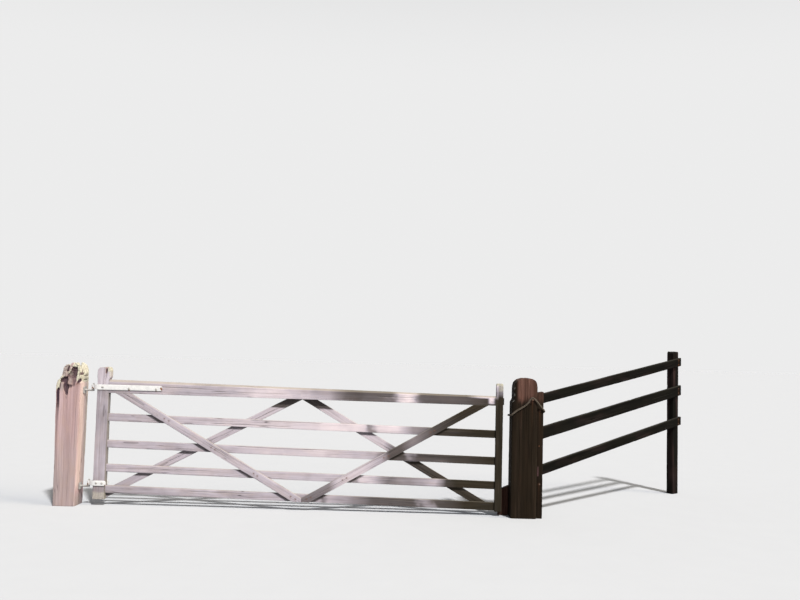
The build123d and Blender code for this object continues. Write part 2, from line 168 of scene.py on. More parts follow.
def section(ha, hb, radii, cell, cracks):
    """Points anticlockwise round a rectangle with eased corners; a negative
    radius is a flat chamfer.  Gives position, outward normal, direction along
    the side, nearness to an arris, crack number and place across the crack."""
    rows = []
    rpp, rmp, rmm, rpm = radii
    app, amp, amm, apm = map(abs, radii)
    sides = [
        ("+a", (ha, -hb + apm), (ha, hb - app), (1, 0), rpp, (ha - app, hb - app), 0),
        ("+b", (ha - app, hb), (-ha + amp, hb), (0, 1), rmp, (-ha + amp, hb - amp), 90),
        ("-a", (-ha, hb - amp), (-ha, -hb + amm), (-1, 0), rmm, (-ha + amm, -hb + amm), 180),
        ("-b", (-ha + amm, -hb), (ha - apm, -hb), (0, -1), rpm, (ha - apm, -hb + apm), 270),
    ]
    for side, p, q, nrm, rad, ctr, deg in sides:
        p, q = np.array(p, float), np.array(q, float)
        length = np.linalg.norm(q - p)
        n = max(1, int(round(length / cell)))
        direction = (q - p) / max(length, 1e-9)
        marks = [(length * k / n, -1, 0.0) for k in range(n + 1)]
        taken = []
        for num, c in enumerate(cracks):
            if c["face"] != side:
                continue
            # distance along this side of the crack's place across the board
            pos = np.array((c["at"], nrm[1] * hb)) if side[1] == "b" else np.array((nrm[0] * ha, c["at"]))
            s = float(np.dot(pos - p, direction))
            near = c["w"] / 2 + 0.0012
            if s < near + 0.0003 or s > length - near - 0.0003:
                continue
            if any(abs(s - o) < near + h + 0.0008 for o, h in taken):
                continue
            taken.append((s, near))
            marks = [m for m in marks if abs(m[0] - s) > near or m[0] in (0.0, length)]
            across = (-1, 0, 1) if c["w"] < 0.008 else (-1, -0.7, 0, 0.7, 1)
            marks += [(s + k * c["w"] / 2, num, k) for k in across]
        marks.sort(key=lambda m: m[0])
        for s, num, k in marks:
            at = p + direction * s
            arris = max(math.exp(-s / 0.004), math.exp(-(length - s) / 0.004))
            rows.append((at[0], at[1], nrm[0], nrm[1], direction[0], direction[1], 0.6 * arris, num, k))
        r = abs(rad)
        if rad < 0:
            nn = math.radians(deg + 45)
            e0 = (ctr[0] + r * math.cos(math.radians(deg)), ctr[1] + r * math.sin(math.radians(deg)))
            e1 = (ctr[0] + r * math.cos(math.radians(deg + 90)), ctr[1] + r * math.sin(math.radians(deg + 90)))
            for u in (0.07, 0.36, 0.64, 0.93):
                rows.append((
                    e0[0] * (1 - u) + e1[0] * u, e0[1] * (1 - u) + e1[1] * u, math.cos(nn), math.sin(nn),
                    -math.sin(nn), math.cos(nn), 0.6 if u in (0.07, 0.93) else 0.1, -1, 0,
                ))
            continue
        steps = 4 if r > 0.006 else 3
        for k in range(1, steps):
            t = math.radians(deg + 90 * k / steps)
            rows.append((
                ctr[0] + r * math.cos(t), ctr[1] + r * math.sin(t),
                math.cos(t), math.sin(t), -math.sin(t), math.cos(t), 1.0, -1, 0,
            ))
    return np.array(rows)


def cut(nrm, pt):
    """A flat end: the plane through pt with that normal, in world terms."""
    return ("plane", np.array(nrm, float), np.array(pt, float))


def timber(name, node, mat, org, L, ha, hb, lo, hi, *, A=None, radii=0.003,
           cell=0.010, step=0.014, seed=1, wob=0.0008, nick=0.0014, chip=0.0035, taper=None,
           cracks=(), rings=4, end_r=0.0025, end_rough=0.0012, dent=None,
           stations=None, painted_light=None, rust=(), pith=None, extra=None, stain_and_shade=None):
    """One length of timber.  lo and hi are its ends: planes from cut(), or
    functions of the place in the section."""
    org, L = np.array(org, float), np.array(L, float)
    L /= np.linalg.norm(L)
    A = np.array((-L[2], 0, L[0]), float) if A is None else np.array(A, float)
    A /= np.linalg.norm(A)
    B = np.cross(L, A)
    rnd = random.Random(seed * 7919 + 13)
    if not isinstance(radii, (tuple, list)):
        radii = (radii,) * 4
    cracks = list(cracks)
    sec = section(ha, hb, radii, cell, cracks)
    a0, b0, na, nb, ta, tb, arris, num, side = sec.T
    nv = len(a0)

    def ends(specs, a, b, pick):
        vals = []
        for s in (specs if isinstance(specs, list) else [specs]):
            if callable(s):
                vals.append(s(a, b))
            else:
                _, n, p = s
                base = (org - p) @ n
                vals.append(-(base + (A @ n) * a + (B @ n) * b) / (L @ n))
        return pick(vals)

    def lo_at(a, b):
        return ends(lo, a, b, lambda v: np.max(v, axis=0))

    def hi_at(a, b):
        return ends(hi, a, b, lambda v: np.min(v, axis=0))

    l0, l1 = lo_at(a0, b0), hi_at(a0, b0)
    nominal = float(np.median(l1 - l0))
    fr = np.array([0, 0.12, 0.45, 1.0])
    offs = end_r * fr
    pull = end_r * (1 - np.sqrt(np.clip(1 - (1 - fr) ** 2, 0, 1)))
    mid = np.linspace(0, 1, max(3, int(nominal / step))) if stations is None else np.array(stations)
    rows_l, rows_pull = [], []
    for o, p in zip(offs, pull):
        rows_l.append(l0 + o)
        rows_pull.append(p)
    for t in mid[1:-1]:
        rows_l.append((l0 + end_r) + (l1 - l0 - 2 * end_r) * t)
        rows_pull.append(0)
    for o, p in zip(offs[::-1], pull[::-1]):
        rows_l.append(l1 - o)
        rows_pull.append(p)
    l = np.array(rows_l)
    a = np.broadcast_to(a0, l.shape).copy()
    b = np.broadcast_to(b0, l.shape).copy()
    split = np.zeros_like(l)
    inward = np.zeros_like(l) + np.array(rows_pull)[:, None]
    for n, c in enumerate(cracks):
        mask = num == n
        if not mask.any():
            continue
        pr = smooth(l, c["l0"] - 0.02, c["l0"] + c.get("in0", 0.10)) * (
            1 - smooth(l, c["l1"] - c.get("in1", 0.10), c["l1"] + 0.02))
        wav = vnoise(stack(l * 9.0, l * 0 + n * 3.1, l * 0), seed + n)
        pr = pr * (0.60 + 0.40 * wav)
        wander = (vnoise(stack(l * 3.3, l * 0 + n * 5.7, l * 0 + 1), seed + 5) - 0.5) * c.get("wander", 0.004)
        width = c["w"] * pr + 0.0004
        shift = side[None, :] * (width - c["w"]) / 2 + wander
        a += np.where(mask[None, :], shift * ta[None, :], 0)
        b += np.where(mask[None, :], shift * tb[None, :], 0)
        hit = (mask & (np.abs(side) < 0.9))[None, :]
        inward += np.where(hit, c["d"] * pr, 0)
        split += np.where(hit, pr, 0)
    # general unevenness, always inwards so the timber keeps its stated size
    p3 = stack(l * 2.4 + seed * 3.3, a * 11 + seed, b * 11)
    inward += wob * fbm(p3, seed) * (split < 0.05)
    p4 = stack(l * 15 + seed, a * 34, b * 34 + seed)
    inward += chip * arris[None, :] * np.clip((fbm(p4, seed + 3, 2) - 0.70) / 0.16, 0, 1)
    p5 = stack(l * 2.1 + seed * 2, a * 6, b * 6)
    inward += nick * arris[None, :] * smooth(fbm(p5, seed + 9, 2), 0.40, 0.75)
    rot, hole = np.zeros_like(l), np.zeros_like(l)
    if dent is not None:
        deep, rot, hole = dent(l, a, b, na[None, :], nb[None, :])
        inward += deep
    a = a - na[None, :] * inward
    b = b - nb[None, :] * inward

    def place(l, a, b):
        ca, sa = (0, 1) if taper is None else taper(l)
        return org + l[..., None] * L + (ca + a * sa)[..., None] * A + b[..., None] * B

    verts = [place(l, a, b).reshape(-1, 3)]
    at_l, at_a, at_b = [l.ravel()], [a.ravel()], [b.ravel()]
    at_ar = [np.broadcast_to(arris, l.shape).ravel().copy()]
    at_sp, at_rot, at_ho = [split.ravel()], [rot.ravel()], [hole.ravel()]
    at_en = [np.zeros(l.size)]
    faces = []
    nu = l.shape[0]
    idx = np.arange(nu * nv).reshape(nu, nv)
    for i in range(nu - 1):
        r0, r1 = idx[i], idx[i + 1]
        n0, n1 = np.roll(r0, -1), np.roll(r1, -1)
        faces += np.stack([r0, n0, n1, r1], 1).tolist()
    count = nu * nv
    for which in (0, 1):
        row = 0 if which == 0 else nu - 1
        prev = idx[row]
        ra, rb = a[row], b[row]
        func = lo_at if which == 0 else hi_at
        for k in range(1, rings + 1):
            s = 1 - k / rings
            if k == rings:
                aa, bb = np.zeros(1), np.zeros(1)
            else:
                aa, bb = ra * s, rb * s
            ll = func(aa, bb)
            bump = end_rough * fbm(stack(aa * 160, bb * 160, ll * 0 + seed), seed + 21, 2)
            radial = vnoise(stack(np.arctan2(bb, aa) * 5, ll * 0 + seed, ll * 0), seed + 2)
            bump = bump + end_rough * 1.2 * np.clip(radial - 0.6, 0, 1)
            ll = ll + (bump if which == 0 else -bump)
            verts.append(place(ll, aa, bb))
            at_l.append(ll)
            at_a.append(aa)
            at_b.append(bb)
            at_ar.append(np.zeros(len(aa)) + (0.4 if k == 1 else 0))
            at_sp.append(np.zeros(len(aa)))
            more = extra(aa, bb) if extra is not None and which == 1 else (np.zeros(len(aa)),) * 2
            at_rot.append(more[0])
            at_ho.append(more[1])
            at_en.append(np.ones(len(aa)))
            if k == rings:
                nxt = np.roll(prev, -1)
                tri = [(int(p), int(q), count) for p, q in zip(prev, nxt)]
                faces += tri if which == 1 else [t[::-1] for t in tri]
                count += 1
            else:
                ring = np.arange(count, count + nv)
                count += nv
                quads = np.stack([prev, np.roll(prev, -1), np.roll(ring, -1), ring], 1)
                faces += (quads if which == 1 else quads[:, ::-1]).tolist()
                prev = ring
    v = np.concatenate(verts)
    la, aa, ba = map(np.concatenate, (at_l, at_a, at_b))
    heart = pith or (rnd.uniform(-0.09, 0.09), rnd.choice((-1, 1)) * rnd.uniform(0.05, 0.16))
    gco = stack(la + rnd.uniform(0, 40), aa + heart[0], ba + heart[1])
    rustv = np.zeros(len(v))
    for (nx, ny, nz), reach, power in rust:
        dx = np.hypot(v[:, 0] - nx, v[:, 1] - ny)
        below = nz - v[:, 2]
        near = np.exp(-(((v - np.array((nx, ny, nz))) ** 2).sum(1)) / (0.010 ** 2))
        run = np.exp(-((dx / 0.006) ** 2)) * np.exp(-np.clip(below, 0, 9) / reach) * (below > -0.004)
        rustv = np.maximum(rustv, power * np.maximum(near, 0.6 * run))
    # painted light and shade: how much of the lit copy of the colour each point takes
    sunv = np.zeros(len(v)) if painted_light is None else painted_light(v)
    # cracks, and the painted shade and grime given for the piece, darken it
    dark = np.concatenate(at_sp)
    if stain_and_shade is not None:
        dark = np.maximum(dark, stain_and_shade(v))
    attrs = {
        "gco": gco, "wear_and_shade": np.concatenate(at_ar), "endg": np.concatenate(at_en),
        "split": np.clip(dark, 0, 1), "rot": np.clip(np.concatenate(at_rot), 0, 1),
        "hole": np.clip(np.concatenate(at_ho), 0, 1), "rust": rustv, "painted_light": sunv,
    }
    obj = make_object(name, v, faces, mat, attrs)
    if node:
        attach(obj, BODY_OF[node])
        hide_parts(node)
    return obj


# -------------------------------------------------------------- materials


class Tree:
    def __init__(self, name):
        self.mat = bpy.data.materials.new(name)
        self.mat.use_nodes = True
        self.nt = self.mat.node_tree
        self.nt.nodes.clear()
        self.out = self.nt.nodes.new("ShaderNodeOutputMaterial")

    def node(self, kind, ins=None, **props):
        n = self.nt.nodes.new(kind)
        for k, v in props.items():
            setattr(n, k, v)
        for k, v in (ins or {}).items():
            s = n.inputs[k]
            if isinstance(v, bpy.types.NodeSocket):
                self.nt.links.new(v, s)
            else:
                s.default_value = v
        return n

    def math(self, op, a, b=None, c=None, clamp=False):
        ins = {0: a}
        if b is not None:
            ins[1] = b
        if c is not None:
            ins[2] = c
        return self.node("ShaderNodeMath", ins, operation=op, use_clamp=clamp).outputs[0]

    def attr(self, name, vector=False):
        n = self.node("ShaderNodeAttribute", attribute_name=name)
        return n.outputs["Vector"] if vector else n.outputs["Fac"]

    def scaled(self, vec, s):
        return self.node("ShaderNodeVectorMath", {0: vec, 1: s}, operation="MULTIPLY").outputs[0]

    def noise(self, vec, detail=3.0, rough=0.55, scale=1.0, distort=0.0):
        n = self.node("ShaderNodeTexNoise", {"Vector": vec, "Scale": scale, "Detail": detail,
                                             "Roughness": rough, "Distortion": distort})
        return n.outputs["Fac"]

    def remap(self, v, lo, hi, to_lo=0.0, to_hi=1.0, smoothstep=True):
        n = self.node("ShaderNodeMapRange", {"Value": v, "From Min": lo, "From Max": hi,
                                             "To Min": to_lo, "To Max": to_hi},
                      interpolation_type="SMOOTHSTEP" if smoothstep else "LINEAR")
        return n.outputs["Result"]

    def mix(self, f, a, b):
        n = self.node("ShaderNodeMix", data_type="RGBA", blend_type="MIX", clamp_factor=True)
        for sock, v in ((n.inputs[0], f), (n.inputs[6], a), (n.inputs[7], b)):
            if isinstance(v, bpy.types.NodeSocket):
                self.nt.links.new(v, sock)
            elif isinstance(v, (tuple, list)):
                sock.default_value = (*v, 1.0)
            else:
                sock.default_value = v
        return n.outputs[2]

    def finish(self, color, rough, height=None, bump=0.5, dist=0.002, metallic=0.0, spec=0.3):
        ins = {"Base Color": color, "Roughness": rough, "Metallic": metallic, "Specular IOR Level": spec}
        if isinstance(color, tuple):
            ins["Base Color"] = (*color, 1.0)
        p = self.node("ShaderNodeBsdfPrincipled", ins)
        if height is not None:
            b = self.node("ShaderNodeBump", {"Height": height, "Strength": bump, "Distance": dist})
            self.nt.links.new(b.outputs["Normal"], p.inputs["Normal"])
        self.nt.links.new(p.outputs[0], self.out.inputs[0])
        return self.mat


def wood(name, shade, light, *, ring=0.22, grain=1.0, mottle=0.45, edge=0.45, rough=0.86, bump=0.55,
         spec=0.22, bare=(0.385, 0.365, 0.295), hollow=(0.30, 0.20, 0.20), rot_and_shade=(0.045, 0.026, 0.028),
         palest=None):
    """Weathered stained timber.  shade and light are each (dark, mid, pale,
    tint, worn arris, bleached upper side): a shaded and a lit copy of one
    piece's colours, mixed point by point to paint shade and light."""
    t = Tree(name)
    g = t.attr("gco", vector=True)
    wear_and_shade, endg, split, up = t.attr("wear_and_shade"), t.attr("endg"), t.attr("split"), t.attr("up")
    rot, hole, rust, painted_light = t.attr("rot"), t.attr("hole"), t.attr("rust"), t.attr("painted_light")
    fine = t.noise(t.scaled(g, (2.4, 150, 150)), 4, 0.6)
    hair = t.noise(t.scaled(g, (7, 560, 560)), 2, 0.5)
    streak = t.noise(t.scaled(g, (0.8, 27, 27)), 3, 0.55)
    broad = t.noise(t.scaled(g, (1.5, 5.5, 5.5)), 4, 0.6)
    blot = t.noise(t.scaled(g, (4.5, 13, 13)), 3, 0.55)
    drift = t.noise(t.scaled(g, (0.7, 4.5, 4.5)), 2, 0.5)
    # growth rings about the heart of the log
    sep = t.node("ShaderNodeSeparateXYZ", {0: g})
    y, z = sep.outputs[1], sep.outputs[2]
    radius = t.math("SQRT", t.math("ADD", t.math("MULTIPLY", y, y), t.math("MULTIPLY", z, z)))
    radius = t.math("ADD", radius, t.math("MULTIPLY", t.math("SUBTRACT", drift, 0.5), 0.055))
    rings = t.math("SINE", t.math("MULTIPLY", radius, 2 * math.pi / 0.0085))
    rings = t.remap(rings, -1.0, 1.0)
    # hairline shakes: thin level lines of a stretched noise
    lines = t.noise(t.scaled(g, (0.85, 38, 38)), 1.0, 0.4)
    gap = t.math("ABSOLUTE", t.math("SUBTRACT", lines, 0.5))
    shake = t.remap(gap, 0.0035, 0.011, 1.0, 0.0)
    gate = t.remap(t.noise(t.scaled(g, (1.3, 9, 9)), 2), 0.50, 0.57)
    shake = t.math("MULTIPLY", shake, gate)
    # knots
    kn = t.node("ShaderNodeTexVoronoi", {"Vector": t.scaled(g, (1.7, 12, 12)), "Scale": 1.0, "Randomness": 1.0},
                feature="F1")
    kd = kn.outputs["Distance"]
    knot = t.remap(kd, 0.08, 0.15, 1.0, 0.0)
    eye = t.remap(t.math("ABSOLUTE", t.math("SUBTRACT", kd, 0.125)), 0.0, 0.03, 1.0, 0.0)

    tone = t.math("MULTIPLY", t.math("SUBTRACT", streak, 0.5), 1.15 * grain)
    tone = t.math("ADD", tone, t.math("MULTIPLY", t.math("SUBTRACT", fine, 0.5), 0.95 * grain))
    tone = t.math("ADD", tone, t.math("MULTIPLY", t.math("SUBTRACT", rings, 0.5), ring))
    tone = t.math("ADD", tone, t.math("MULTIPLY", t.math("SUBTRACT", broad, 0.5), 0.35 * grain))
    down = t.remap(tone, -0.34, 0.02)
    high = t.remap(tone, 0.02, 0.38)
    hue = t.math("MULTIPLY", t.remap(blot, 0.42, 0.66), mottle)
    edgef = t.math("MULTIPLY", t.math("MULTIPLY", wear_and_shade, edge), t.remap(broad, 0.34, 0.60, 0.25, 1.0))
    bleach = t.remap(up, 0.30, 0.80)
    bleach = t.math("MULTIPLY", bleach, t.remap(fine, 0.25, 0.62, 0.62, 1.0))
    cols = []
    for dark, mid, pale, tint, arris, top in (shade, light):
        c = t.mix(down, dark, mid)
        c = t.mix(high, c, pale)
        c = t.mix(hue, c, tint)
        cols.append(t.mix(edgef, c, arris))
    # painted shade and painted light: the shaded and the lit copy, mixed per point
    col = t.mix(painted_light, cols[0], cols[1])
    # palest: a copy paler than the lit one, for painted pools of light and painted highlights
    if palest:
        white = t.mix(down, tuple(0.80 * x for x in palest), palest)
        col = t.mix(t.remap(painted_light, 1.0, 2.0, 0.0, 1.0, smoothstep=False), col, white)
    col = t.mix(bleach, col, t.mix(painted_light, shade[5], light[5]))
    darkest = tuple(0.5 * (s + 0.35 * q) for s, q in zip(shade[0], light[0]))
    col = t.mix(t.math("MULTIPLY", knot, 0.35), col, darkest)
    col = t.mix(t.math("MULTIPLY", eye, 0.40), col, tuple(0.7 * x for x in darkest))
    # end grain is darker and open
    spokes = t.noise(t.scaled(g, (1.0, 330, 330)), 3, 0.7)
    endcol = t.mix(t.remap(spokes, 0.35, 0.7), tuple(0.6 * x for x in light[0]), light[1])
    endcol = t.mix(painted_light, t.mix(t.remap(spokes, 0.35, 0.7), shade[0], shade[2]), endcol)
    col = t.mix(t.math("MULTIPLY", endg, 0.6), col, endcol)
    # bare decayed wood where the stained finish has gone, and the dark of the hollows: rotten wood and painted shade
    crumb = t.noise(t.scaled(g, (60, 120, 120)), 4, 0.65)
    barecol = t.mix(t.remap(crumb, 0.36, 0.60), tuple(0.66 * x for x in bare), bare)
    holcol = t.mix(t.remap(crumb, 0.38, 0.64), tuple(0.45 * x for x in hollow), hollow)
    col = t.mix(t.remap(rot, 0.04, 0.28), col, barecol)
    col = t.mix(t.remap(hole, 0.08, 0.55), col, holcol)
    col = t.mix(t.remap(hole, 0.62, 0.92), col, rot_and_shade)
    col = t.mix(t.math("MULTIPLY", rust, 0.7), col, (0.085, 0.034, 0.016))
    col = t.mix(t.math("MULTIPLY", shake, 0.70), col, tuple(0.6 * x for x in darkest))
    # cracks, and the painted shade and grime carried with them, darken towards near black
    col = t.mix(t.math("MULTIPLY", split, 0.92), col, tuple(0.25 * x for x in darkest))
    h = t.math("ADD", t.math("MULTIPLY", fine, 0.55), t.math("MULTIPLY", hair, 0.30))
    h = t.math("ADD", h, t.math("MULTIPLY", rings, 0.16))
    soft = t.math("MAXIMUM", t.remap(rot, 0.0, 0.3), t.remap(hole, 0.0, 0.3))
    h = t.math("ADD", h, t.math("MULTIPLY", t.math("MULTIPLY", crumb, soft), 1.3))
    h = t.math("SUBTRACT", h, t.math("MULTIPLY", shake, 1.1))
    h = t.math("SUBTRACT", h, t.math("MULTIPLY", eye, 0.35))
    rgh = t.remap(fine, 0.2, 0.8, rough - 0.06, rough + 0.08, smoothstep=False)
    return t.finish(col, rgh, h, bump, 0.0022, spec=spec)


def metal(name, base, dull, rusty, rough=0.5, metallic=0.55, spread=0.60, pit=0.5):
    """Galvanised or bare iron, dulled, with rust that spreads from the rust
    attribute and in scattered blooms."""
    t = Tree(name)
    co = t.node("ShaderNodeTexCoord").outputs["Object"]
    rust = t.attr("rust")
    cells = t.node("ShaderNodeTexVoronoi", {"Vector": co, "Scale": 150.0}, feature="F1")
    spangle = t.node("ShaderNodeSeparateColor", {0: cells.outputs["Color"]}).outputs[0]
    n1 = t.noise(co, 5, 0.6, scale=28)
    n2 = t.noise(co, 4, 0.65, scale=170)
    col = t.mix(t.remap(n1, 0.35, 0.68), base, dull)
    col = t.mix(t.math("MULTIPLY", spangle, 0.20), col, tuple(0.75 * x for x in base))
    bloom = t.remap(t.math("ADD", n1, t.math("MULTIPLY", rust, 0.55)), spread, spread + 0.12)
    rc = t.mix(t.remap(n2, 0.35, 0.65), tuple(0.45 * x for x in rusty), rusty)
    col = t.mix(bloom, col, rc)
    rgh = t.math("ADD", t.math("MULTIPLY", bloom, 0.35), t.remap(n2, 0.2, 0.8, rough - 0.08, rough + 0.1))
    h = t.math("ADD", t.math("MULTIPLY", n2, 0.5), t.math("MULTIPLY", bloom, pit))
    return t.finish(col, rgh, h, 0.35, 0.0012, metallic=metallic, spec=0.4)


# each row is (dark, mid, pale, tint, worn arris, bleached upper side): first
# the shaded, then the lit copy of a piece's colours, for painted shade and light
LEAF = wood("leaf_wood",
            ((0.0100, 0.0078, 0.0047), (0.0171, 0.0137, 0.0086), (0.0305, 0.0247, 0.0178), (0.0222, 0.0154, 0.0098),
             (0.033, 0.027, 0.019), (0.090, 0.079, 0.061)),
            ((0.205, 0.180, 0.200), (0.270, 0.243, 0.276), (0.322, 0.296, 0.332), (0.286, 0.241, 0.246),
             (0.342, 0.314, 0.338), (0.235, 0.208, 0.182)),
            spec=0.08, palest=(0.50, 0.435, 0.455))
POST_L = wood("hanging_post_wood",
              ((0.135, 0.108, 0.104), (0.190, 0.160, 0.160), (0.245, 0.208, 0.205), (0.205, 0.158, 0.138),
               (0.260, 0.235, 0.220), (0.320, 0.290, 0.240)),
              ((0.208, 0.136, 0.134), (0.276, 0.192, 0.196), (0.326, 0.237, 0.243), (0.288, 0.195, 0.168),
               (0.315, 0.242, 0.238), (0.370, 0.330, 0.275)),
              edge=0.30, spec=0.12, hollow=(0.095, 0.060, 0.064), rot_and_shade=(0.036, 0.020, 0.030), palest=(0.50, 0.395, 0.365))
POST_R = wood("latch_post_wood",
              ((0.0046, 0.0032, 0.0020), (0.0086, 0.0059, 0.0037), (0.0150, 0.0108, 0.0072), (0.0104, 0.0066, 0.0038),
               (0.020, 0.015, 0.010), (0.026, 0.020, 0.014)),
              ((0.038, 0.019, 0.0145), (0.080, 0.041, 0.032), (0.130, 0.075, 0.060), (0.095, 0.040, 0.029),
               (0.120, 0.075, 0.062), (0.120, 0.078, 0.064)),
              spec=0.04, edge=0.30, bare=(0.150, 0.145, 0.130))
FENCE = wood("fence_wood",
             ((0.0020, 0.0019, 0.0017), (0.0034, 0.0032, 0.0028), (0.0070, 0.0064, 0.0056), (0.0044, 0.0042, 0.0028),
              (0.010, 0.009, 0.008), (0.020, 0.019, 0.016)),
             ((0.020, 0.012, 0.012), (0.044, 0.025, 0.026), (0.082, 0.048, 0.055), (0.056, 0.028, 0.026),
              (0.085, 0.055, 0.058), (0.070, 0.058, 0.047)),
             spec=0.02, edge=0.25)
ZINC = metal("galvanised_band", (0.50, 0.50, 0.50), (0.43, 0.43, 0.435), (0.190, 0.085, 0.040), spread=0.80,
             metallic=0.10, rough=0.48)
IRON = metal("worn_iron", (0.32, 0.31, 0.30), (0.21, 0.205, 0.20), (0.15, 0.065, 0.030), rough=0.6,
             metallic=0.25, spread=0.64)
RUSTED = metal("rusted_iron", (0.085, 0.052, 0.039), (0.055, 0.036, 0.027), (0.105, 0.042, 0.018), rough=0.75,
               metallic=0.15, spread=0.45)

# ---------------------------------------------------------- the camera

cam_data = bpy.data.cameras.new("camera")
cam_data.sensor_width = 36.0
cam_data.lens = 864.44 / 800.0 * 36.0
cam_data.clip_end = 400.0
camera = bpy.data.objects.new("camera", cam_data)
yaw, pitch, roll = 0.0095, 0.0637, 0.0253
fwd = Vector((-math.sin(yaw) * math.cos(pitch), math.cos(yaw) * math.cos(pitch), math.sin(pitch)))
side_v = Vector((math.cos(yaw), math.sin(yaw), 0))
up_v = side_v.cross(fwd)
cam_r = math.cos(roll) * side_v + math.sin(roll) * up_v
cam_u = -math.sin(roll) * side_v + math.cos(roll) * up_v
camera.matrix_world = Matrix((
    (cam_r.x, cam_u.x, -fwd.x, 3.5091),
    (cam_r.y, cam_u.y, -fwd.y, -9.1323),
    (cam_r.z, cam_u.z, -fwd.z, 1.6438),
    (0, 0, 0, 1),
))
bpy.context.scene.collection.objects.link(camera)
bpy.context.scene.camera = camera

# ------------------------------------------------- the leaf's setting out

HEEL_X0, HEEL_X1, HEAD_X0, HEAD_X1 = 0.266, 0.391, 4.457, 4.530
RAILS = {"second": (0.918, 0.843), "third": (0.641, 0.565), "fourth": (0.392, 0.314), "bottom": (0.170, 0.097)}
RAIL_H = 0.041


def line(x0, z0, x1, z1):
    b = (z1 - z0) / (x1 - x0)
    return z0 - b * x0, b


def cross(e, f):
    x = (f[0] - e[0]) / (e[1] - f[1])
    return x, e[0] + e[1] * x


rail_axis = {k: line(HEEL_X1, v[0], HEAD_X0, v[1]) for k, v in RAILS.items()}
top_upper = line(HEEL_X1, 1.311, HEAD_X0, 1.238)
top_lower = line(HEEL_X1, 1.171, HEAD_X0, 1.141)
bottom_lower = (rail_axis["bottom"][0] - RAIL_H, rail_axis["bottom"][1])
front_l, front_r = (1.4812, -0.570), (-1.3069, 0.570)
back_l, back_r = (-0.0833, 0.5285), (2.5711, -0.5677)
V_FOOT = cross(front_l, front_r)[0]
V_HEAD = 2.421


def edge_cut(e):
    """The plane square to the leaf through a straight edge z = a + b*x."""
    return cut((-e[1], 0, 1), (0, 0, e[0]))


def plumb(x):
    return cut((1, 0, 0), (x, 0, 0))


# how much painted light each rail gets along its length, by the rail's height
RAIL_LIGHT = [
    (0.13, (0.50, 0.68), (1.40, 0.88), (2.20, 1.00), (2.85, 0.90), (3.18, 0.22), (4.00, 0.07), (4.15, 0.0)),
    (0.35, (0.50, 1.03), (1.50, 0.98), (2.60, 0.98), (3.20, 1.10), (3.36, 0.35), (3.84, 1.10), (3.95, 0.07), (4.07, 0.0)),
    (0.60, (0.50, 0.93), (1.80, 1.06), (2.75, 1.44), (3.20, 1.00), (3.38, 0.11), (4.15, 0.05), (4.4, 0.0)),
    (0.87, (0.50, 0.84), (1.60, 1.20), (2.40, 1.22), (2.85, 1.64), (3.45, 1.56), (3.60, 0.56), (3.88, 0.04), (4.25, 0.0)),
    (1.20, (0.50, 0.90), (1.50, 1.00), (2.00, 1.58), (2.50, 1.08), (2.74, 0.84), (2.88, 0.22), (4.10, 0.16), (4.35, 0.06)),
]
# pools of painted light and painted shade on the rails: place along it, height,
# half length, level
PATCHES = [
    (3.500, 1.18, 0.105, 1.95), (3.000, 1.18, 0.070, 0.15), (3.180, 0.88, 0.062, 0.46), (3.570, 0.60, 0.045, 0.46),
    (2.970, 0.36, 0.045, 0.62), (3.090, 0.36, 0.075, 1.48), (2.660, 0.13, 0.045, 0.40), (3.755, 0.12, 0.055, 0.56),
]


def lap_shadows(v):
    """Painted shadow on the rails' fronts under the lower edge of each front
    brace that laps them, and on the back braces under each rail, wider and darker under the top rail."""
    x, y, z = v.T
    n = fbm(v * 14.0, 86, 2) - 0.5
    shaded = np.zeros(len(x))
    for a, b in (front_l, front_r):
        c = math.sqrt(1 + b * b)
        d = (a + b * x - z) / c - 0.0405
        shaded = np.maximum(shaded, smooth(d, -0.004, 0.001) * (1 - smooth(d + 0.018 * n, 0.020, 0.034)) * (np.abs(y + 0.0115) < 0.003))
    for a, b, reach, most in [rail_axis[k] + (0.030, 1.0) for k in ("second", "third", "fourth", "bottom")] \
            + [(top_lower[0] + RAIL_H, top_lower[1], 0.096, 1.5)]:
        d = a + b * x - RAIL_H - z
        shaded = np.maximum(shaded, most * smooth(d, -0.004, 0.001) * (1 - smooth(d + 0.014 * n, reach - 0.008, reach + 0.008)) * (np.abs(y - 0.0145) < 0.003))
    return shaded


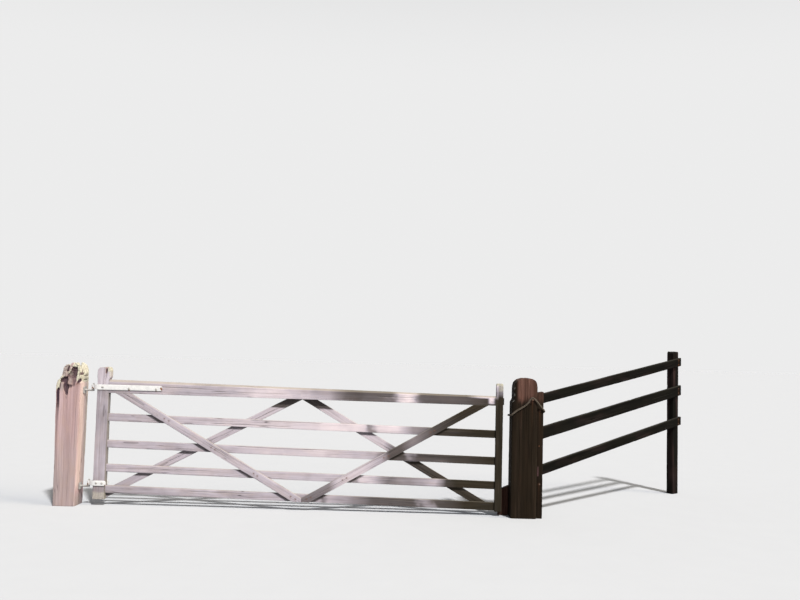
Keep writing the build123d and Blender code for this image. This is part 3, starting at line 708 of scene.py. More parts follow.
def leaf_sun(v):
    """Painted light and shade on the leaf: lit over most of it, shaded in
    patches and over its latch end."""
    x, z = v[:, 0], v[:, 2]
    n = fbm(stack(x * 2.3, v[:, 1] * 2, z * 4.0), 77, 3) - 0.5
    xs = x + 0.17 * n
    level = np.array([row[0] for row in RAIL_LIGHT])
    vals = np.stack([np.interp(xs, [q[0] for q in row[1:]], [q[1] for q in row[1:]]) for row in RAIL_LIGHT])
    zz = np.clip(z, level[0], level[-1])
    k = np.clip(np.searchsorted(level, zz) - 1, 0, len(level) - 2)
    f = smooth((zz - level[k]) / (level[k + 1] - level[k]), 0.0, 1.0)
    idx = np.arange(len(z))
    s = vals[k, idx] * (1 - f) + vals[k + 1, idx] * f
    m = fbm(stack(x * 14, v[:, 1] * 9, z * 16.0), 80, 3) - 0.5
    for px, pz, half, lev in PATCHES:
        w = np.exp(-(np.abs(xs + 0.15 * m + 0.4 * (z - pz) - px) / half) ** 2.6) * (np.abs(z - pz) < 0.11)
        s = s * (1 - w) + lev * w
    s = s * (1.0 - 0.14 * smooth(fbm(stack(x * 2.7, v[:, 1], z * 5.0), 79, 2), 0.50, 0.75) + 0.30 * m)
    # painted light on the head stile's top, the rail's end beside it and the top rail's upper arris
    half = smooth(x, 4.468, 4.490)
    tip = np.interp(z + 0.012 * m, (1.200, 1.228, 1.275, 1.330, 1.350), (0.0, 0.48, 0.62, 1.05, 1.7)) * (1 - half) \
        + np.interp(z + 0.012 * m, (1.225, 1.262, 1.300, 1.345, 1.358), (0.0, 0.40, 0.48, 0.62, 1.2)) * half
    end = smooth(x + 0.02 * m, 4.368, 4.392) * (1 - smooth(x, 4.420, 4.448)) * smooth(z + 0.01 * m, 1.150, 1.172) * (z < 1.25)
    arris = smooth(x + 0.03 * m, 4.10, 4.38) * smooth(z, 1.212, 1.220)
    # painted shadow where the front braces lap the rails
    s = s * (1 - 0.66 * lap_shadows(v))
    # painted shade: the head stile takes the shaded copy, all but its top
    s = s * (1 - smooth(x, 4.39, 4.45))
    return np.clip(np.maximum.reduce([s, tip * (x > 4.44), 1.85 * end, 1.6 * arris * (x < 4.44)]), 0, 2)


def head_dent(l, a, b, na, nb):
    """The right of the head stile's top is paler and creamier: worn finish, and painted light."""
    x = HD_MID - a
    n = fbm(stack(l * 40, a * 60, b * 60), 29, 2) - 0.5
    rot = 0.15 * smooth(l + 0.02 * n, 1.268, 1.300) * smooth(x, 4.470, 4.486)
    rot = np.maximum(rot, 0.26 * smooth(l + 0.01 * n, 1.338, 1.354))
    rot = np.maximum(rot, 0.22 * smooth(l + 0.02 * n, 1.255, 1.285) * smooth(-na, 0.5, 0.9))
    return 0.001 * smooth(rot, 0.05, 0.2), rot, 0 * rot


def brace_sun(v):
    """Painted light and shade along the front brace on the latch side."""
    x = v[:, 0] + 0.12 * (fbm(v * 2.6, 83, 3) - 0.5)
    return np.interp(x, (2.52, 2.75, 2.84, 3.05, 3.28, 3.36, 3.49, 3.60, 3.80, 4.05),
                     (0.34, 0.42, 1.20, 1.35, 0.90, 0.14, 0.14, 0.44, 0.10, 0.0))


def back_sun(v):
    """Painted light and shade along both back braces, with painted shadow under the rails."""
    x = v[:, 0] + 0.20 * (fbm(v * 2.4, 84, 3) - 0.5)
    s = np.interp(x, (0.45, 0.90, 1.20, 2.10, 2.95, 3.30, 3.40, 3.60, 4.3),
                  (0.70, 0.96, 1.04, 1.08, 1.32, 1.20, 0.38, 0.06, 0.0))
    return s * (1 - 0.60 * lap_shadows(v))


def under(z, x0, x1, depth=0.55, reach=0.007):
    """Painted shadow of a hinge strap along its lower edge, with grime, on the front of a timber."""
    def f(v):
        g = np.exp(-((v[:, 2] - z + 0.004) / reach) ** 2)
        return depth * g * (v[:, 1] < -0.030) * smooth(v[:, 0], x0 - 0.01, x0 + 0.01) * (1 - smooth(v[:, 0], x1 - 0.02, x1))
    return f


def shakes(seed, faces, l0, l1, count, halves, span=(0.25, 0.9), w=(0.0014, 0.0028), d=(0.004, 0.009)):
    """Open drying cracks.  halves: how far from the middle line they may lie,
    on the a faces and on the b faces."""
    r = random.Random(seed)
    out = []
    for _ in range(count):
        face = r.choice(faces)
        half = halves[0] if face[1] == "a" else halves[1]
        length = r.uniform(*span)
        start = r.uniform(l0 - 0.1, l1 - length * 0.6)
        out.append({"face": face, "at": r.uniform(-half, half), "l0": start, "l1": start + length,
                    "w": r.uniform(*w), "d": r.uniform(*d), "wander": 0.003})
    return out


def crossings(axis, rails=("second", "third", "fourth", "bottom")):
    """Two nails where each brace crosses each rail."""
    out = []
    for k in rails:
        x, z = cross(axis, rail_axis[k])
        s = 1 if axis[1] > 0 else -1
        for d in (-1, 1):
            out.append((x + d * 0.022, z + d * s * 0.010))
    return out


nail_jit = random.Random(11)


def jittered(points):
    return [(x + nail_jit.uniform(-.005, .005), z + nail_jit.uniform(-.004, .004)) for x, z in points]


nails_front = jittered([p for ax in (front_l, front_r) for p in crossings(ax)])
nails_back = jittered([p for ax in (back_l, back_r) for p in crossings(ax)])
rust_front = [((x, -0.0375, z), 0.03 + 0.03 * (i % 3), 0.8) for i, (x, z) in enumerate(nails_front)]
rust_back = [((x, 0.0375, z), 0.03 + 0.03 * (i % 3), 0.8) for i, (x, z) in enumerate(nails_back)]

# ------------------------------------------------------------- the leaf

for i, (key, axis) in enumerate(rail_axis.items()):
    timber(f"{key}_rail_timber", f"{key}_rail", LEAF, (0, 0, axis[0]), (1, 0, axis[1]), RAIL_H, 0.0125,
           plumb(HEEL_X0), plumb(HEAD_X1), seed=20 + i, cell=0.0085, step=0.012, painted_light=leaf_sun,
           cracks=shakes(50 + i, ("+b", "-b", "+b", "-b", "+a"), 0.4, 4.4, 9, (0.005, 0.030)))


def top_taper(l):
    up = top_upper[0] + top_upper[1] * l
    lw = top_lower[0] + top_lower[1] * l
    return (up + lw) / 2, (up - lw) / 2 / 0.065


TOP_BOLTS = [(0.325, 1.231), (0.603, 1.221), (0.888, 1.221)]
timber("top_rail_timber", "top_rail", LEAF, (0, 0, 0), (1, 0, 0), 0.065, 0.0375,
       plumb(HEEL_X1 - 0.006), plumb(HEAD_X0 + 0.006), seed=31, radii=(-0.020, 0.003, 0.003, -0.020), cell=0.009,
       step=0.012, nick=0.0018, chip=0.005, taper=top_taper, painted_light=leaf_sun,
       cracks=shakes(71, ("+b", "-b", "+a"), 0.9, 4.3, 12, (0.012, 0.036), d=(0.006, 0.014)),
       rust=[((x, -0.0375, 1.2025), 0.03, 0.8) for x, _ in TOP_BOLTS[1:]]
       + [((0.948, -0.0375, 1.222), 0.05, 0.8), ((0.603, 0.0375, 1.2025), 0.05, 0.9), ((0.888, 0.0375, 1.2025), 0.07, 1.0)],
       stain_and_shade=under(1.2035, 0.20, 0.955))
# its through tenon at the head stands a little proud
tenon = timber("top_rail_tenon", None, LEAF, (0, 0, 1.1865 + 0.0125 * HEAD_X0), (1, 0, -0.0125), 0.0365, 0.0122,
               plumb(HEAD_X0 - 0.01), plumb(HEAD_X1 + 0.0115), seed=33, radii=0.0025, painted_light=leaf_sun)
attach(tenon, "gate_leaf")

# the hanging stile: broader at its head, rounded over, and split
HEAD_OUT = [(0.261, 1.392), (0.265, 1.410), (0.272, 1.423), (0.284, 1.435), (0.298, 1.442), (0.330, 1.4445),
            (0.366, 1.4455), (0.379, 1.4450), (0.390, 1.441), (0.397, 1.435), (0.402, 1.424), (0.404, 1.414)]
ho_x, ho_z = np.array(HEAD_OUT).T
ST_MID = (HEEL_X0 + HEEL_X1) / 2
NOTCH_X = 0.3575


def stile_shadow_and_grime(v):
    return np.maximum(under(1.2035, 0.20, 0.60)(v), under(0.205, 0.20, 0.60, 0.75)(v))


def heel_sun(v):
    """Painted light and shade on the hanging stile: lit at its top, shaded on
    its side towards the rails and a little towards its foot."""
    x, y, z = v.T
    n = fbm(stack(x * 20, y * 20, z * 4.0), 85, 3) - 0.5
    side = smooth(x, 0.3855, 0.3895) * (1 - smooth(z, 1.30, 1.34))
    s = leaf_sun(v) * (0.90 + (0.30 + 0.5 * n) * smooth(z + 0.04 * n, 1.235, 1.285))
    return np.clip(s * (1 - 0.52 * side) * (1 - 0.12 * (1 - smooth(z, 0.12, 0.60))), 0, 2)


def stile_taper(l):
    t = smooth(l, 1.306, 1.342)
    return -0.004 * t, 1 + 0.146 * t


def hanging_top(a, b):
    x = ST_MID + 0.004 - a * 1.146
    n = fbm(stack(x * 60, b * 45, x * 0), 3, 3)
    top = np.interp(x, ho_x, ho_z) - 0.006 * n
    # a cleft from the front, closed at the back
    wedge = np.exp(-(np.abs((x - NOTCH_X) / 0.0088)) ** 3) * smooth(b, -0.026, -0.012)
    fine = np.exp(-((x - 0.318 + 0.1 * b) / 0.0025) ** 2)
    return top - 0.046 * wedge - 0.008 * fine


def stile_end(a, b):
    x = ST_MID + 0.004 - a * 1.146
    n = fbm(stack(x * 50, b * 50, x * 0), 27, 2) - 0.5
    worn = 0.24 * smooth(x + 0.02 * n, 0.362, 0.372) + 0.16 * (n > 0)
    # painted shade down the cleft in the end
    return worn, 0.97 * np.exp(-(np.abs((x - NOTCH_X) / 0.0115)) ** 4) * smooth(b, -0.030, -0.020)


def stile_dent(l, a, b, na, nb):
    """Bare wood beside the cleft, and painted shade inside it."""
    x = ST_MID + 0.004 - a * 1.146
    n = fbm(stack(l * 40, a * 60, b * 60), 29, 2) - 0.5
    front = smooth(nb, 0.3, 0.8)
    right = smooth(x, 0.366, 0.374) * smooth(l + 0.03 * n, 1.375, 1.405)
    side = smooth(x, 0.378, 0.392) * smooth(l + 0.03 * n, 1.325, 1.350)
    rim = smooth(l + 0.02 * n, 1.425, 1.440) * 0.5
    foot = 0.55 * (1 - smooth(l + 0.03 * n, 0.125, 0.175))
    # painted light: a little of the bare colour on the side towards the rails, for the warm light on it
    grey = 0.42 * smooth(-na, 0.5, 0.9) * (1 - smooth(l, 1.30, 1.34))
    dark = 0.97 * front * np.exp(-(np.abs((x - NOTCH_X) / 0.0105)) ** 4) * smooth(l, 1.366, 1.384)
    return 0.012 * dark, 0.26 * np.maximum.reduce([right, 0.6 * side, rim, foot, grey]), dark


timber("hanging_stile_timber", "hanging_stile", LEAF, (ST_MID, 0, 0), (0, 0, 1), 0.0625, 0.0375,
       cut((0, 0, 1), (0, 0, 0.067)), hanging_top, A=(-1, 0, 0),
       seed=41, radii=0.0035, cell=0.0045, step=0.009, nick=0.0018, chip=0.005, rings=18, end_rough=0.003,
       taper=stile_taper, painted_light=heel_sun, extra=stile_end, stain_and_shade=stile_shadow_and_grime, dent=stile_dent,
       cracks=[{"face": "+b", "at": (ST_MID + 0.004 - NOTCH_X) / 1.146, "l0": 1.335, "l1": 1.50, "w": 0.0095, "d": 0.034,
                "in0": 0.06, "in1": 0.0, "wander": 0.001},
               {"face": "-b", "at": 0.012, "l0": 1.24, "l1": 1.50, "w": 0.0045, "d": 0.016,
                "in0": 0.12, "in1": 0.0, "wander": 0.001}]
       + shakes(81, ("+b", "-b", "+a", "-a"), 0.10, 1.35, 10, (0.026, 0.048), d=(0.005, 0.012)),
       rust=[((0.330, -0.0375, 1.2025), 0.04, 0.7), ((0.302, -0.0375, 0.205), 0.05, 0.8), ((0.362, -0.0375, 0.205), 0.04, 0.8)])

HD_MID = (HEAD_X0 + HEAD_X1) / 2


def head_top(a, b):
    x = HD_MID - a
    n = fbm(stack(x * 60, b * 45, x * 0), 13, 3)
    top = np.interp(x, (4.457, 4.462, 4.468, 4.516, 4.525, 4.530), (1.364, 1.371, 1.374, 1.3755, 1.371, 1.366)) - 0.005 * n
    return top - 0.012 * np.exp(-((x - 4.502 + 0.1 * b) / 0.0028) ** 2)


timber("head_stile_timber", "head_stile", LEAF, (HD_MID, 0, 0), (0, 0, 1), 0.0365, 0.0375,
       cut((0, 0, 1), (0, 0, 0.047)), head_top, A=(-1, 0, 0),
       seed=43, radii=0.0035, cell=0.0062, step=0.010, nick=0.0018, chip=0.005, rings=8, end_rough=0.002, painted_light=leaf_sun,
       dent=head_dent, cracks=shakes(91, ("+b", "-b", "-a"), 0.10, 1.3, 7, (0.026, 0.024), d=(0.004, 0.009)))

half_f = 0.081 / 2
for name, axis, y, ends_, seed, nails, span in (
    ("front_brace_hinge_side", front_l, -0.025,
     (edge_cut(top_lower), [plumb(V_FOOT - 0.0004), edge_cut(bottom_lower)]), 45, rust_front, (0.6, 2.3)),
    ("front_brace_latch_side", front_r, -0.025,
     ([plumb(V_FOOT + 0.0004), edge_cut(bottom_lower)], edge_cut(top_lower)), 46, rust_front, (2.7, 4.4)),
    ("back_brace_hinge_side", back_l, 0.025,
     (plumb(HEEL_X1 - 0.002), [plumb(V_HEAD - 0.0004), edge_cut(top_lower)]), 47, rust_back, (0.5, 2.3)),
    ("back_brace_latch_side", back_r, 0.025,
     ([plumb(V_HEAD + 0.0004), edge_cut(top_lower)], [plumb(HEAD_X0 + 0.002), edge_cut(bottom_lower)]), 48, rust_back,
     (2.6, 4.4)),
):
    timber(f"{name}_timber", name, LEAF, (0, y, axis[0]), (1, 0, axis[1]), half_f, 0.0125, ends_[0], ends_[1],
           seed=seed, cell=0.0085, step=0.011, rings=5, rust=nails,
           painted_light=brace_sun if name == "front_brace_latch_side" else back_sun if y > 0 else leaf_sun,
           cracks=shakes(seed * 3, ("+b", "-b", "+b", "+a"), span[0], span[1], 7, (0.005, 0.029)))

# ---------------------------------------------------------- hanging post

HP = 0.120
HP_OUT = [(-0.119, 1.305), (-0.099, 1.327), (-0.084, 1.352), (-0.067, 1.425), (-0.059, 1.450), (-0.042, 1.465),
          (0.000, 1.479), (0.046, 1.485), (0.070, 1.479), (0.096, 1.459), (0.113, 1.426), (0.120, 1.385)]
hp_x, hp_z = np.array(HP_OUT).T
# its two sides as seen from the front: height and place
HP_LEFT = [(0, -0.1155), (0.48, -0.1185), (0.76, -0.128), (0.92, -0.1325), (1.075, -0.1325), (1.205, -0.1378),
           (1.235, -0.1378), (1.266, -0.1327), (1.305, -0.1188)]
HP_RIGHT = [(0, 0.1140), (0.60, 0.1185), (1.00, 0.1197)]


def hp_taper(l):
    xl = np.interp(l, *np.array(HP_LEFT).T)
    xr = np.interp(l, *np.array(HP_RIGHT).T)
    return -(xl + xr) / 2, (xr - xl) / (2 * HP)


# the decay in the front of the head, as outlines of (x, z) points: depth, how
# dark it is inside (rotten wood and painted shade), how soft its edge is
HOLLOWS = [
    ([(0.027, 1.433), (0.079, 1.433), (0.081, 1.389), (0.074, 1.347), (0.068, 1.326), (0.030, 1.322), (0.001, 1.326),
      (-0.020, 1.339), (-0.014, 1.362), (0.005, 1.387), (0.019, 1.414)], 0.018, 0.74, 0.008),
    ([(-0.061, 1.330), (-0.015, 1.333), (-0.010, 1.305), (-0.017, 1.279), (-0.014, 1.253), (0.001, 1.250),
      (0.001, 1.220), (-0.009, 1.190), (-0.010, 1.150), (-0.018, 1.142), (-0.034, 1.153),
      (-0.048, 1.190), (-0.058, 1.232), (-0.052, 1.266), (-0.059, 1.276), (-0.084, 1.274), (-0.088, 1.312),
      (-0.069, 1.318)], 0.020, 0.76, 0.006),
    ([(-0.030, 1.332), (0.072, 1.332), (0.075, 1.295), (0.061, 1.263), (0.058, 1.232), (0.038, 1.232), (0.033, 1.253),
      (0.030, 1.300), (-0.010, 1.318)], 0.006, 0.40, 0.012),
    ([(-0.010, 1.253), (0.034, 1.250), (0.030, 1.222), (-0.010, 1.218)], 0.006, 0.46, 0.008),
    ([(0.097, 1.380), (0.140, 1.380), (0.140, 1.352), (0.097, 1.352)], 0.007, 0.48, 0.006),
    ([(0.101, 1.314), (0.140, 1.318), (0.140, 1.284), (0.106, 1.280), (0.086, 1.264), (0.090, 1.288)], 0.012, 0.97, 0.004),
]
# splits in it, each down a line: heights, places, half width, depth, darkness (rotten wood and painted shade)
SPLITS = [
    ((1.384, 1.391, 1.420, 1.462), (-0.027, -0.026, -0.016, -0.002), (0.003, 0.0105, 0.0105, 0.0060), 0.014, 0.72),
    ((1.185, 1.211, 1.263, 1.311, 1.318), (-0.100, -0.097, -0.0930, -0.0890, -0.088),
     (0.0060, 0.0065, 0.0050, 0.0042, 0.0005), 0.016, 0.56),
    ((0.37, 0.60, 0.80, 0.93, 1.04, 1.15, 1.195, 1.214), (-0.112, -0.114, -0.116, -0.116, -0.114, -0.1165, -0.1165, -0.110),
     (0.0008, 0.0060, 0.0095, 0.0130, 0.0155, 0.0150, 0.0130, 0.0060), 0.018, 0.90),
]
GROOVE = SPLITS[2]


def hp_front(x, z):
    """Depth and darkness of the decay at a place on the front of the head; the darkness is rotten wood and painted
    shade.
    """
    n = fbm(stack(x * 42, z * 24, x * 0), 15, 3) - 0.5
    n2 = fbm(stack(x * 90, z * 36, x * 0 + 3), 18, 2) - 0.5
    deep, dark = np.zeros(np.shape(x)), np.zeros(np.shape(x))
    for pts, d, k, soft in HOLLOWS:
        inn = within(x, z, pts) + 0.008 * n + 0.002
        deep = np.maximum(deep, d * smooth(inn, -0.004, 0.016))
        dark = np.maximum(dark, k * smooth(inn, -0.6 * soft, 0.6 * soft) * (1 + 0.20 * n2))
    # paler on the left of the biggest one
    dark = dark * (1 - 0.46 * np.exp(-(((x - 0.010) / 0.026) ** 2 + ((z - 1.358) / 0.046) ** 2) ** 1.5))
    for q, (zs, xs, ws, d, k) in enumerate(SPLITS):
        wd = np.interp(z, zs, ws, left=0, right=0)
        g = np.exp(-(np.abs(x - np.interp(z, zs, xs) + 0.004 * n) / np.maximum(wd, 1e-4)) ** 4) * (wd > 0.0005)
        if q == 2:
            d = d * np.interp(z, (0.37, 0.8, 1.00, 1.08), (0.20, 0.50, 0.70, 1.0))
            k = k * np.interp(z, (0.55, 0.80, 1.00, 1.05, 1.10), (0.0, 0.16, 0.34, 0.75, 1.0))
        deep = np.maximum(deep, d * g)
        dark = np.maximum(dark, k * smooth(g, 0.25, 0.6))
    return deep + 0.003 * smooth(deep, 0.01, 0.03) * n2, dark


def hp_groove_shade(v):
    """Painted shade down the groove on the left of the front."""
    x, z = v[:, 0], v[:, 2]
    wd = np.interp(z, GROOVE[0], GROOVE[2])
    g = np.exp(-(np.abs(x - np.interp(z, GROOVE[0], GROOVE[1])) / wd) ** 4) * (v[:, 1] < -0.07)
    return g * np.interp(z, (0.40, 0.62, 0.95, 1.02, 1.04), (0.0, 0.16, 0.20, 0.16, 0.0))


def hp_dent(l, a, b, na, nb):
    ca, sa = hp_taper(l)
    x, y, z = -ca - a * sa, -b + 0 * l, l
    front = smooth(nb, 0.3, 0.8)
    deep, dark = hp_front(x, z)
    deep, dark = deep * front, dark * front
    # gaps between the crumbling lumps on the right-hand face of the head, with painted shade in them
    right = smooth(-na, 0.3, 0.8)
    for cy, cz, ry, rz, d, k in ((-0.070, 1.366, 0.080, 0.0165, 0.008, 0.50), (-0.030, 1.418, 0.018, 0.020, 0.008, 0.44),
                                 (-0.112, 1.299, 0.044, 0.019, 0.012, 0.97), (0.050, 1.343, 0.080, 0.0090, 0.006, 0.36),
                                 (0.030, 1.300, 0.060, 0.0080, 0.006, 0.30), (0.095, 1.400, 0.040, 0.0080, 0.006, 0.34)):
        body = np.exp(-(((y - cy) / ry) ** 2 + ((z - cz) / rz) ** 2) ** 1.6) * right
        deep = np.maximum(deep, d * body)
        dark = np.maximum(dark, k * smooth(body, 0.3, 0.7))
    # bare crumbling wood all round the head; lower down on the left
    n = fbm(stack(x * 30, y * 30, z * 12), 16, 3) - 0.5
    low = np.interp(x, (-0.138, -0.100, -0.090, -0.050, -0.045, 0.03, 0.068, 0.078, 0.10, 0.12),
                    (1.192, 1.196, 1.250, 1.290, 1.345, 1.345, 1.320, 1.275, 1.262, 1.262))
    wide = 0.26 * (fbm(stack(x * 11, y * 11, z * 2.2), 17, 2) - 0.5)
    low = np.where(nb > 0.3, low, np.where(-na > 0.3, 1.27, 1.29 + wide))
    bare = smooth(z + 0.05 * n, low - 0.012, low + 0.028)
    cubes = lumps(stack(x / 0.033, y / 0.033, z / 0.040), 12)
    crumble = bare * (0.0075 * (1 - smooth(cubes, 0.0, 0.55)) + 0.006 * (n + 0.5)) * smooth(z, 1.30, 1.40)
    crumble = crumble + bare * 0.0035 * (n + 0.5)
    # the left-hand chunk of the head is greyer
    grey = front * smooth(0.010 + 0.55 * (z - 1.40) - x, 0.0, 0.014) * smooth(z, 1.325, 1.350)
    rot = 0.30 * bare * (1 - 0.66 * grey)
    # painted shade in the gaps between the crumbs of bare wood
    gaps = bare * (1 - smooth(cubes, 0.02, 0.20)) * smooth(z, 1.33, 1.40)
    dark = np.maximum(dark, (0.20 + 0.12 * grey) * gaps * (n > -0.10))
    # a yellow strip towards the back of the right-hand face
    strip = right * smooth(y, 0.045, 0.062) * smooth(z, 0.30, 0.60)
    rot = np.maximum(rot, 0.15 * strip)
    return deep + crumble, rot, dark


def hp_top(a, b):
    x, y = 0.0005 - 0.9958 * a, -b
    top = np.interp(x, hp_x, hp_z) - 0.002
    n = fbm(stack(x * 26, y * 20, x * 0), 7, 4)
    cubes = lumps(stack(x / 0.034, y / 0.036, x * 0 + 2.2), 14)
    inner = smooth(HP - np.maximum(np.abs(x), np.abs(y)), 0.0, 0.05)
    top = top - 0.012 * (1 - smooth(cubes, 0.0, 0.5)) - (0.008 + 0.030 * inner) * smooth(n, 0.42, 0.75)
    # splits across the head
    for x0, lean, w, d in ((-0.004, 0.06, 0.0090, 0.028), (0.112, -0.37, 0.0100, 0.036), (-0.082, 0.05, 0.006, 0.018)):
        top = top - d * np.exp(-(np.abs((x - x0 - lean * (y + HP)) / w)) ** 2.2)
    return top


def hp_extra(a, b):
    x, y = -a, -b
    n = fbm(stack(x * 30, y * 30, x * 0), 25, 3)
    cubes = lumps(stack(x / 0.034, y / 0.036, x * 0 + 2.2), 14)
    # painted shade in the gaps between the lumps of the end
    return 0.30 + 0.06 * (n - 0.5), 0.26 * (1 - smooth(cubes, 0.02, 0.20))


def hp_sun(v):
    n = fbm(v * np.array((9, 9, 1.3)), 66, 3)
    x, z = v[:, 0], v[:, 2]
    # painted light and shade: the lit copy of the colour above, the shaded copy towards the foot
    s = np.clip(0.25 + 0.75 * smooth(z, 0.15, 0.95) + 0.6 * (n - 0.5), 0, 1)
    # painted shade: the shaded copy in a mauve patch beside the hollow, on the greyer left-hand chunk and in a tan
    # patch lower on the left
    front = v[:, 1] < -0.07
    patch = np.exp(-(((x - 0.012) / 0.022) ** 2 + ((z - 1.292) / 0.042) ** 2) ** 1.6)
    chunk = smooth(-x, -0.004, 0.012) * smooth(z, 1.325, 1.350)
    tan = np.exp(-(((x + 0.070) / 0.020) ** 2 + ((z - 1.225) / 0.042) ** 2) ** 1.6)
    s = s * (1 - front * np.maximum.reduce([0.85 * patch, 0.80 * chunk, 0.9 * tan]))
    # painted light: the right-hand face takes a copy paler than the lit one
    right = smooth(x, 0.106, 0.112) * smooth(v[:, 1], -0.1185, -0.1120) * smooth(z, 0.05, 0.25)
    s = np.where(right > 0, s * (1 - right) + right * (1.72 + 0.8 * (n - 0.5)), s)
    # painted shade along the front right arris, against the highlight the lamps put there
    corner = np.exp(-(((x - 0.117) / 0.012) ** 2 + ((v[:, 1] + 0.117) / 0.012) ** 2))
    return s * (1 - 0.45 * corner * smooth(z, 0.05, 0.25))


st = np.concatenate([np.linspace(0, 0.76, 96)[:-1], np.linspace(0.76, 1.0, 84)])
timber("hanging_post_timber", "hanging_post", POST_L, (0, 0, 0), (0, 0, 1), HP, HP,
       cut((0, 0, 1), (0, 0, 0)), hp_top, A=(-1, 0, 0), seed=61, radii=(0.003, 0.008, 0.010, 0.004), cell=0.0046,
       nick=0.0045, chip=0.008, wob=0.0022,
       rings=26, end_r=0.003, end_rough=0.003, dent=hp_dent, stations=st, extra=hp_extra, painted_light=hp_sun, taper=hp_taper,
       stain_and_shade=hp_groove_shade,
       cracks=[{"face": "+b", "at": 0.070, "l0": 0.35, "l1": 1.02, "w": 0.0032, "d": 0.016, "wander": 0.004},
               {"face": "+b", "at": -0.035, "l0": 0.06, "l1": 0.95, "w": 0.0036, "d": 0.018, "wander": 0.004},
               {"face": "+b", "at": -0.082, "l0": 0.50, "l1": 1.14, "w": 0.0034, "d": 0.016, "wander": 0.004},
               {"face": "+b", "at": 0.020, "l0": 0.10, "l1": 0.70, "w": 0.0026, "d": 0.012, "wander": 0.004},
               {"face": "-a", "at": 0.030, "l0": 0.30, "l1": 1.26, "w": 0.0050, "d": 0.024, "wander": 0.004},
               {"face": "-a", "at": -0.060, "l0": 0.05, "l1": 0.80, "w": 0.0032, "d": 0.015, "wander": 0.004},
               {"face": "+a", "at": 0.000, "l0": 0.20, "l1": 1.20, "w": 0.0050, "d": 0.022, "wander": 0.004},
               {"face": "-b", "at": 0.015, "l0": 0.30, "l1": 1.44, "w": 0.0055, "d": 0.024, "wander": 0.004, "in1": 0.02},
               {"face": "-b", "at": -0.060, "l0": 0.05, "l1": 0.90, "w": 0.0036, "d": 0.015, "wander": 0.004}],
       rust=[((0.120, 0.0, 1.160), 0.10, 0.8), ((0.118, 0.0, 0.161), 0.10, 0.8)]
       + [((x, -0.120, z), r, k) for x, z, r, k in (
           (0.070, 1.252, 0.04, 0.60), (0.077, 1.256, 0.08, 0.85), (0.084, 1.260, 0.12, 1.00), (0.091, 1.262, 0.12, 1.00),
           (0.098, 1.260, 0.09, 0.90), (0.105, 1.256, 0.05, 0.70))])

# ------------------------------------------------------------ latch post

LPX0, LPX1, LPH, LPT = 4.612, 4.876, 0.130, 1.440
LPM, LPR = (LPX0 + LPX1) / 2, (LPX1 - LPX0) / 2


LP_OUT = [(4.632, 1.335), (4.636, 1.362), (4.646, 1.389), (4.663, 1.410), (4.682, 1.4245), (4.706, 1.435),
          (4.735, 1.440), (4.795, 1.440), (4.822, 1.434), (4.840, 1.4250), (4.854, 1.413), (4.866, 1.394),
          (4.873, 1.370), (4.876, 1.345)]
lp_x, lp_z = np.array(LP_OUT).T


def lp_taper(l):
    """Worn back on its left, above the rope."""
    t = smooth(l, 1.178, 1.222)
    return -0.010 * t, 1 - 0.076 * t


def lp_top(a, b):
    x = 4.754 - 0.924 * a
    z = np.interp(x, lp_x, lp_z)
    n = fbm(stack(x * 30, b * 24, x * 0), 9, 3)
    grooves = 0
    for x0, lean, w, d in ((4.764, 0.1, 0.0035, 0.016), (4.690, -0.12, 0.0035, 0.012), (4.822, 0.05, 0.003, 0.010)):
        grooves = grooves + d * np.exp(-((x - x0 - lean * b) / w) ** 2)
    return z - 0.001 - 0.004 * n - grooves


def lp_dent(l, a, b, na, nb):
    """Pale specks where the left arris is worn to the wood."""
    rot = np.zeros(np.broadcast(l, a, b).shape)
    n = fbm(stack(l * 70, a * 70, b * 70), 19, 2) - 0.5
    for z, r in ((1.333, 0.011), (1.262, 0.013), (1.196, 0.008)):
        near = np.exp(-(((l - z + 0.010 * n) / r) ** 2 + ((a - LPR) / 0.010) ** 2 + ((b - LPH + 0.01) / 0.018) ** 2))
        rot = np.maximum(rot, 0.30 * smooth(near, 0.15, 0.5))
    return 0.002 * (rot > 0.1), rot, 0 * rot


# painted light on the latch post's head, fading to the shaded copy below, at its left edge and towards its right
def lp_sun(v):
    n = fbm(v * np.array((14, 14, 2.0)), 68, 3)
    s = fbm(v * np.array((34, 34, 1.5)), 69, 2)
    head = smooth(v[:, 2] + 0.14 * (n - 0.5), 1.165, 1.275)
    across = smooth(v[:, 0], 4.655, 4.690) * (1 - 0.75 * smooth(v[:, 0], 4.815, 4.850))
    return np.clip(head * across * (0.35 + 0.95 * s) + 0.06 * smooth(s, 0.5, 0.8), 0, 1)


st = np.concatenate([np.linspace(0, 0.78, 80)[:-1], np.linspace(0.78, 1.0, 44)])
timber("latch_post_timber", "latch_post", POST_R, (LPM, 0, 0), (0, 0, 1), LPR, LPH,
       cut((0, 0, 1), (0, 0, 0)), lp_top, A=(-1, 0, 0), seed=62, radii=0.014, cell=0.0085, nick=0.003, chip=0.007,
       wob=0.0015, rings=18, end_r=0.003, end_rough=0.002, stations=st, painted_light=lp_sun, taper=lp_taper, dent=lp_dent,
       cracks=[{"face": "+b", "at": -0.012, "l0": 0.85, "l1": 1.47, "w": 0.0045, "d": 0.020, "in1": 0.0},
               {"face": "+b", "at": 0.052, "l0": 0.20, "l1": 1.36, "w": 0.0040, "d": 0.018},
               {"face": "+b", "at": -0.075, "l0": 0.10, "l1": 0.95, "w": 0.0035, "d": 0.014},
               {"face": "+a", "at": 0.020, "l0": 0.15, "l1": 1.25, "w": 0.0050, "d": 0.020},
               {"face": "-b", "at": 0.010, "l0": 0.30, "l1": 1.47, "w": 0.0060, "d": 0.024, "in1": 0.0},
               {"face": "-b", "at": -0.070, "l0": 0.05, "l1": 1.00, "w": 0.0040, "d": 0.014}],
       rust=[((4.821, -0.130, 1.218), 0.12, 0.9)])


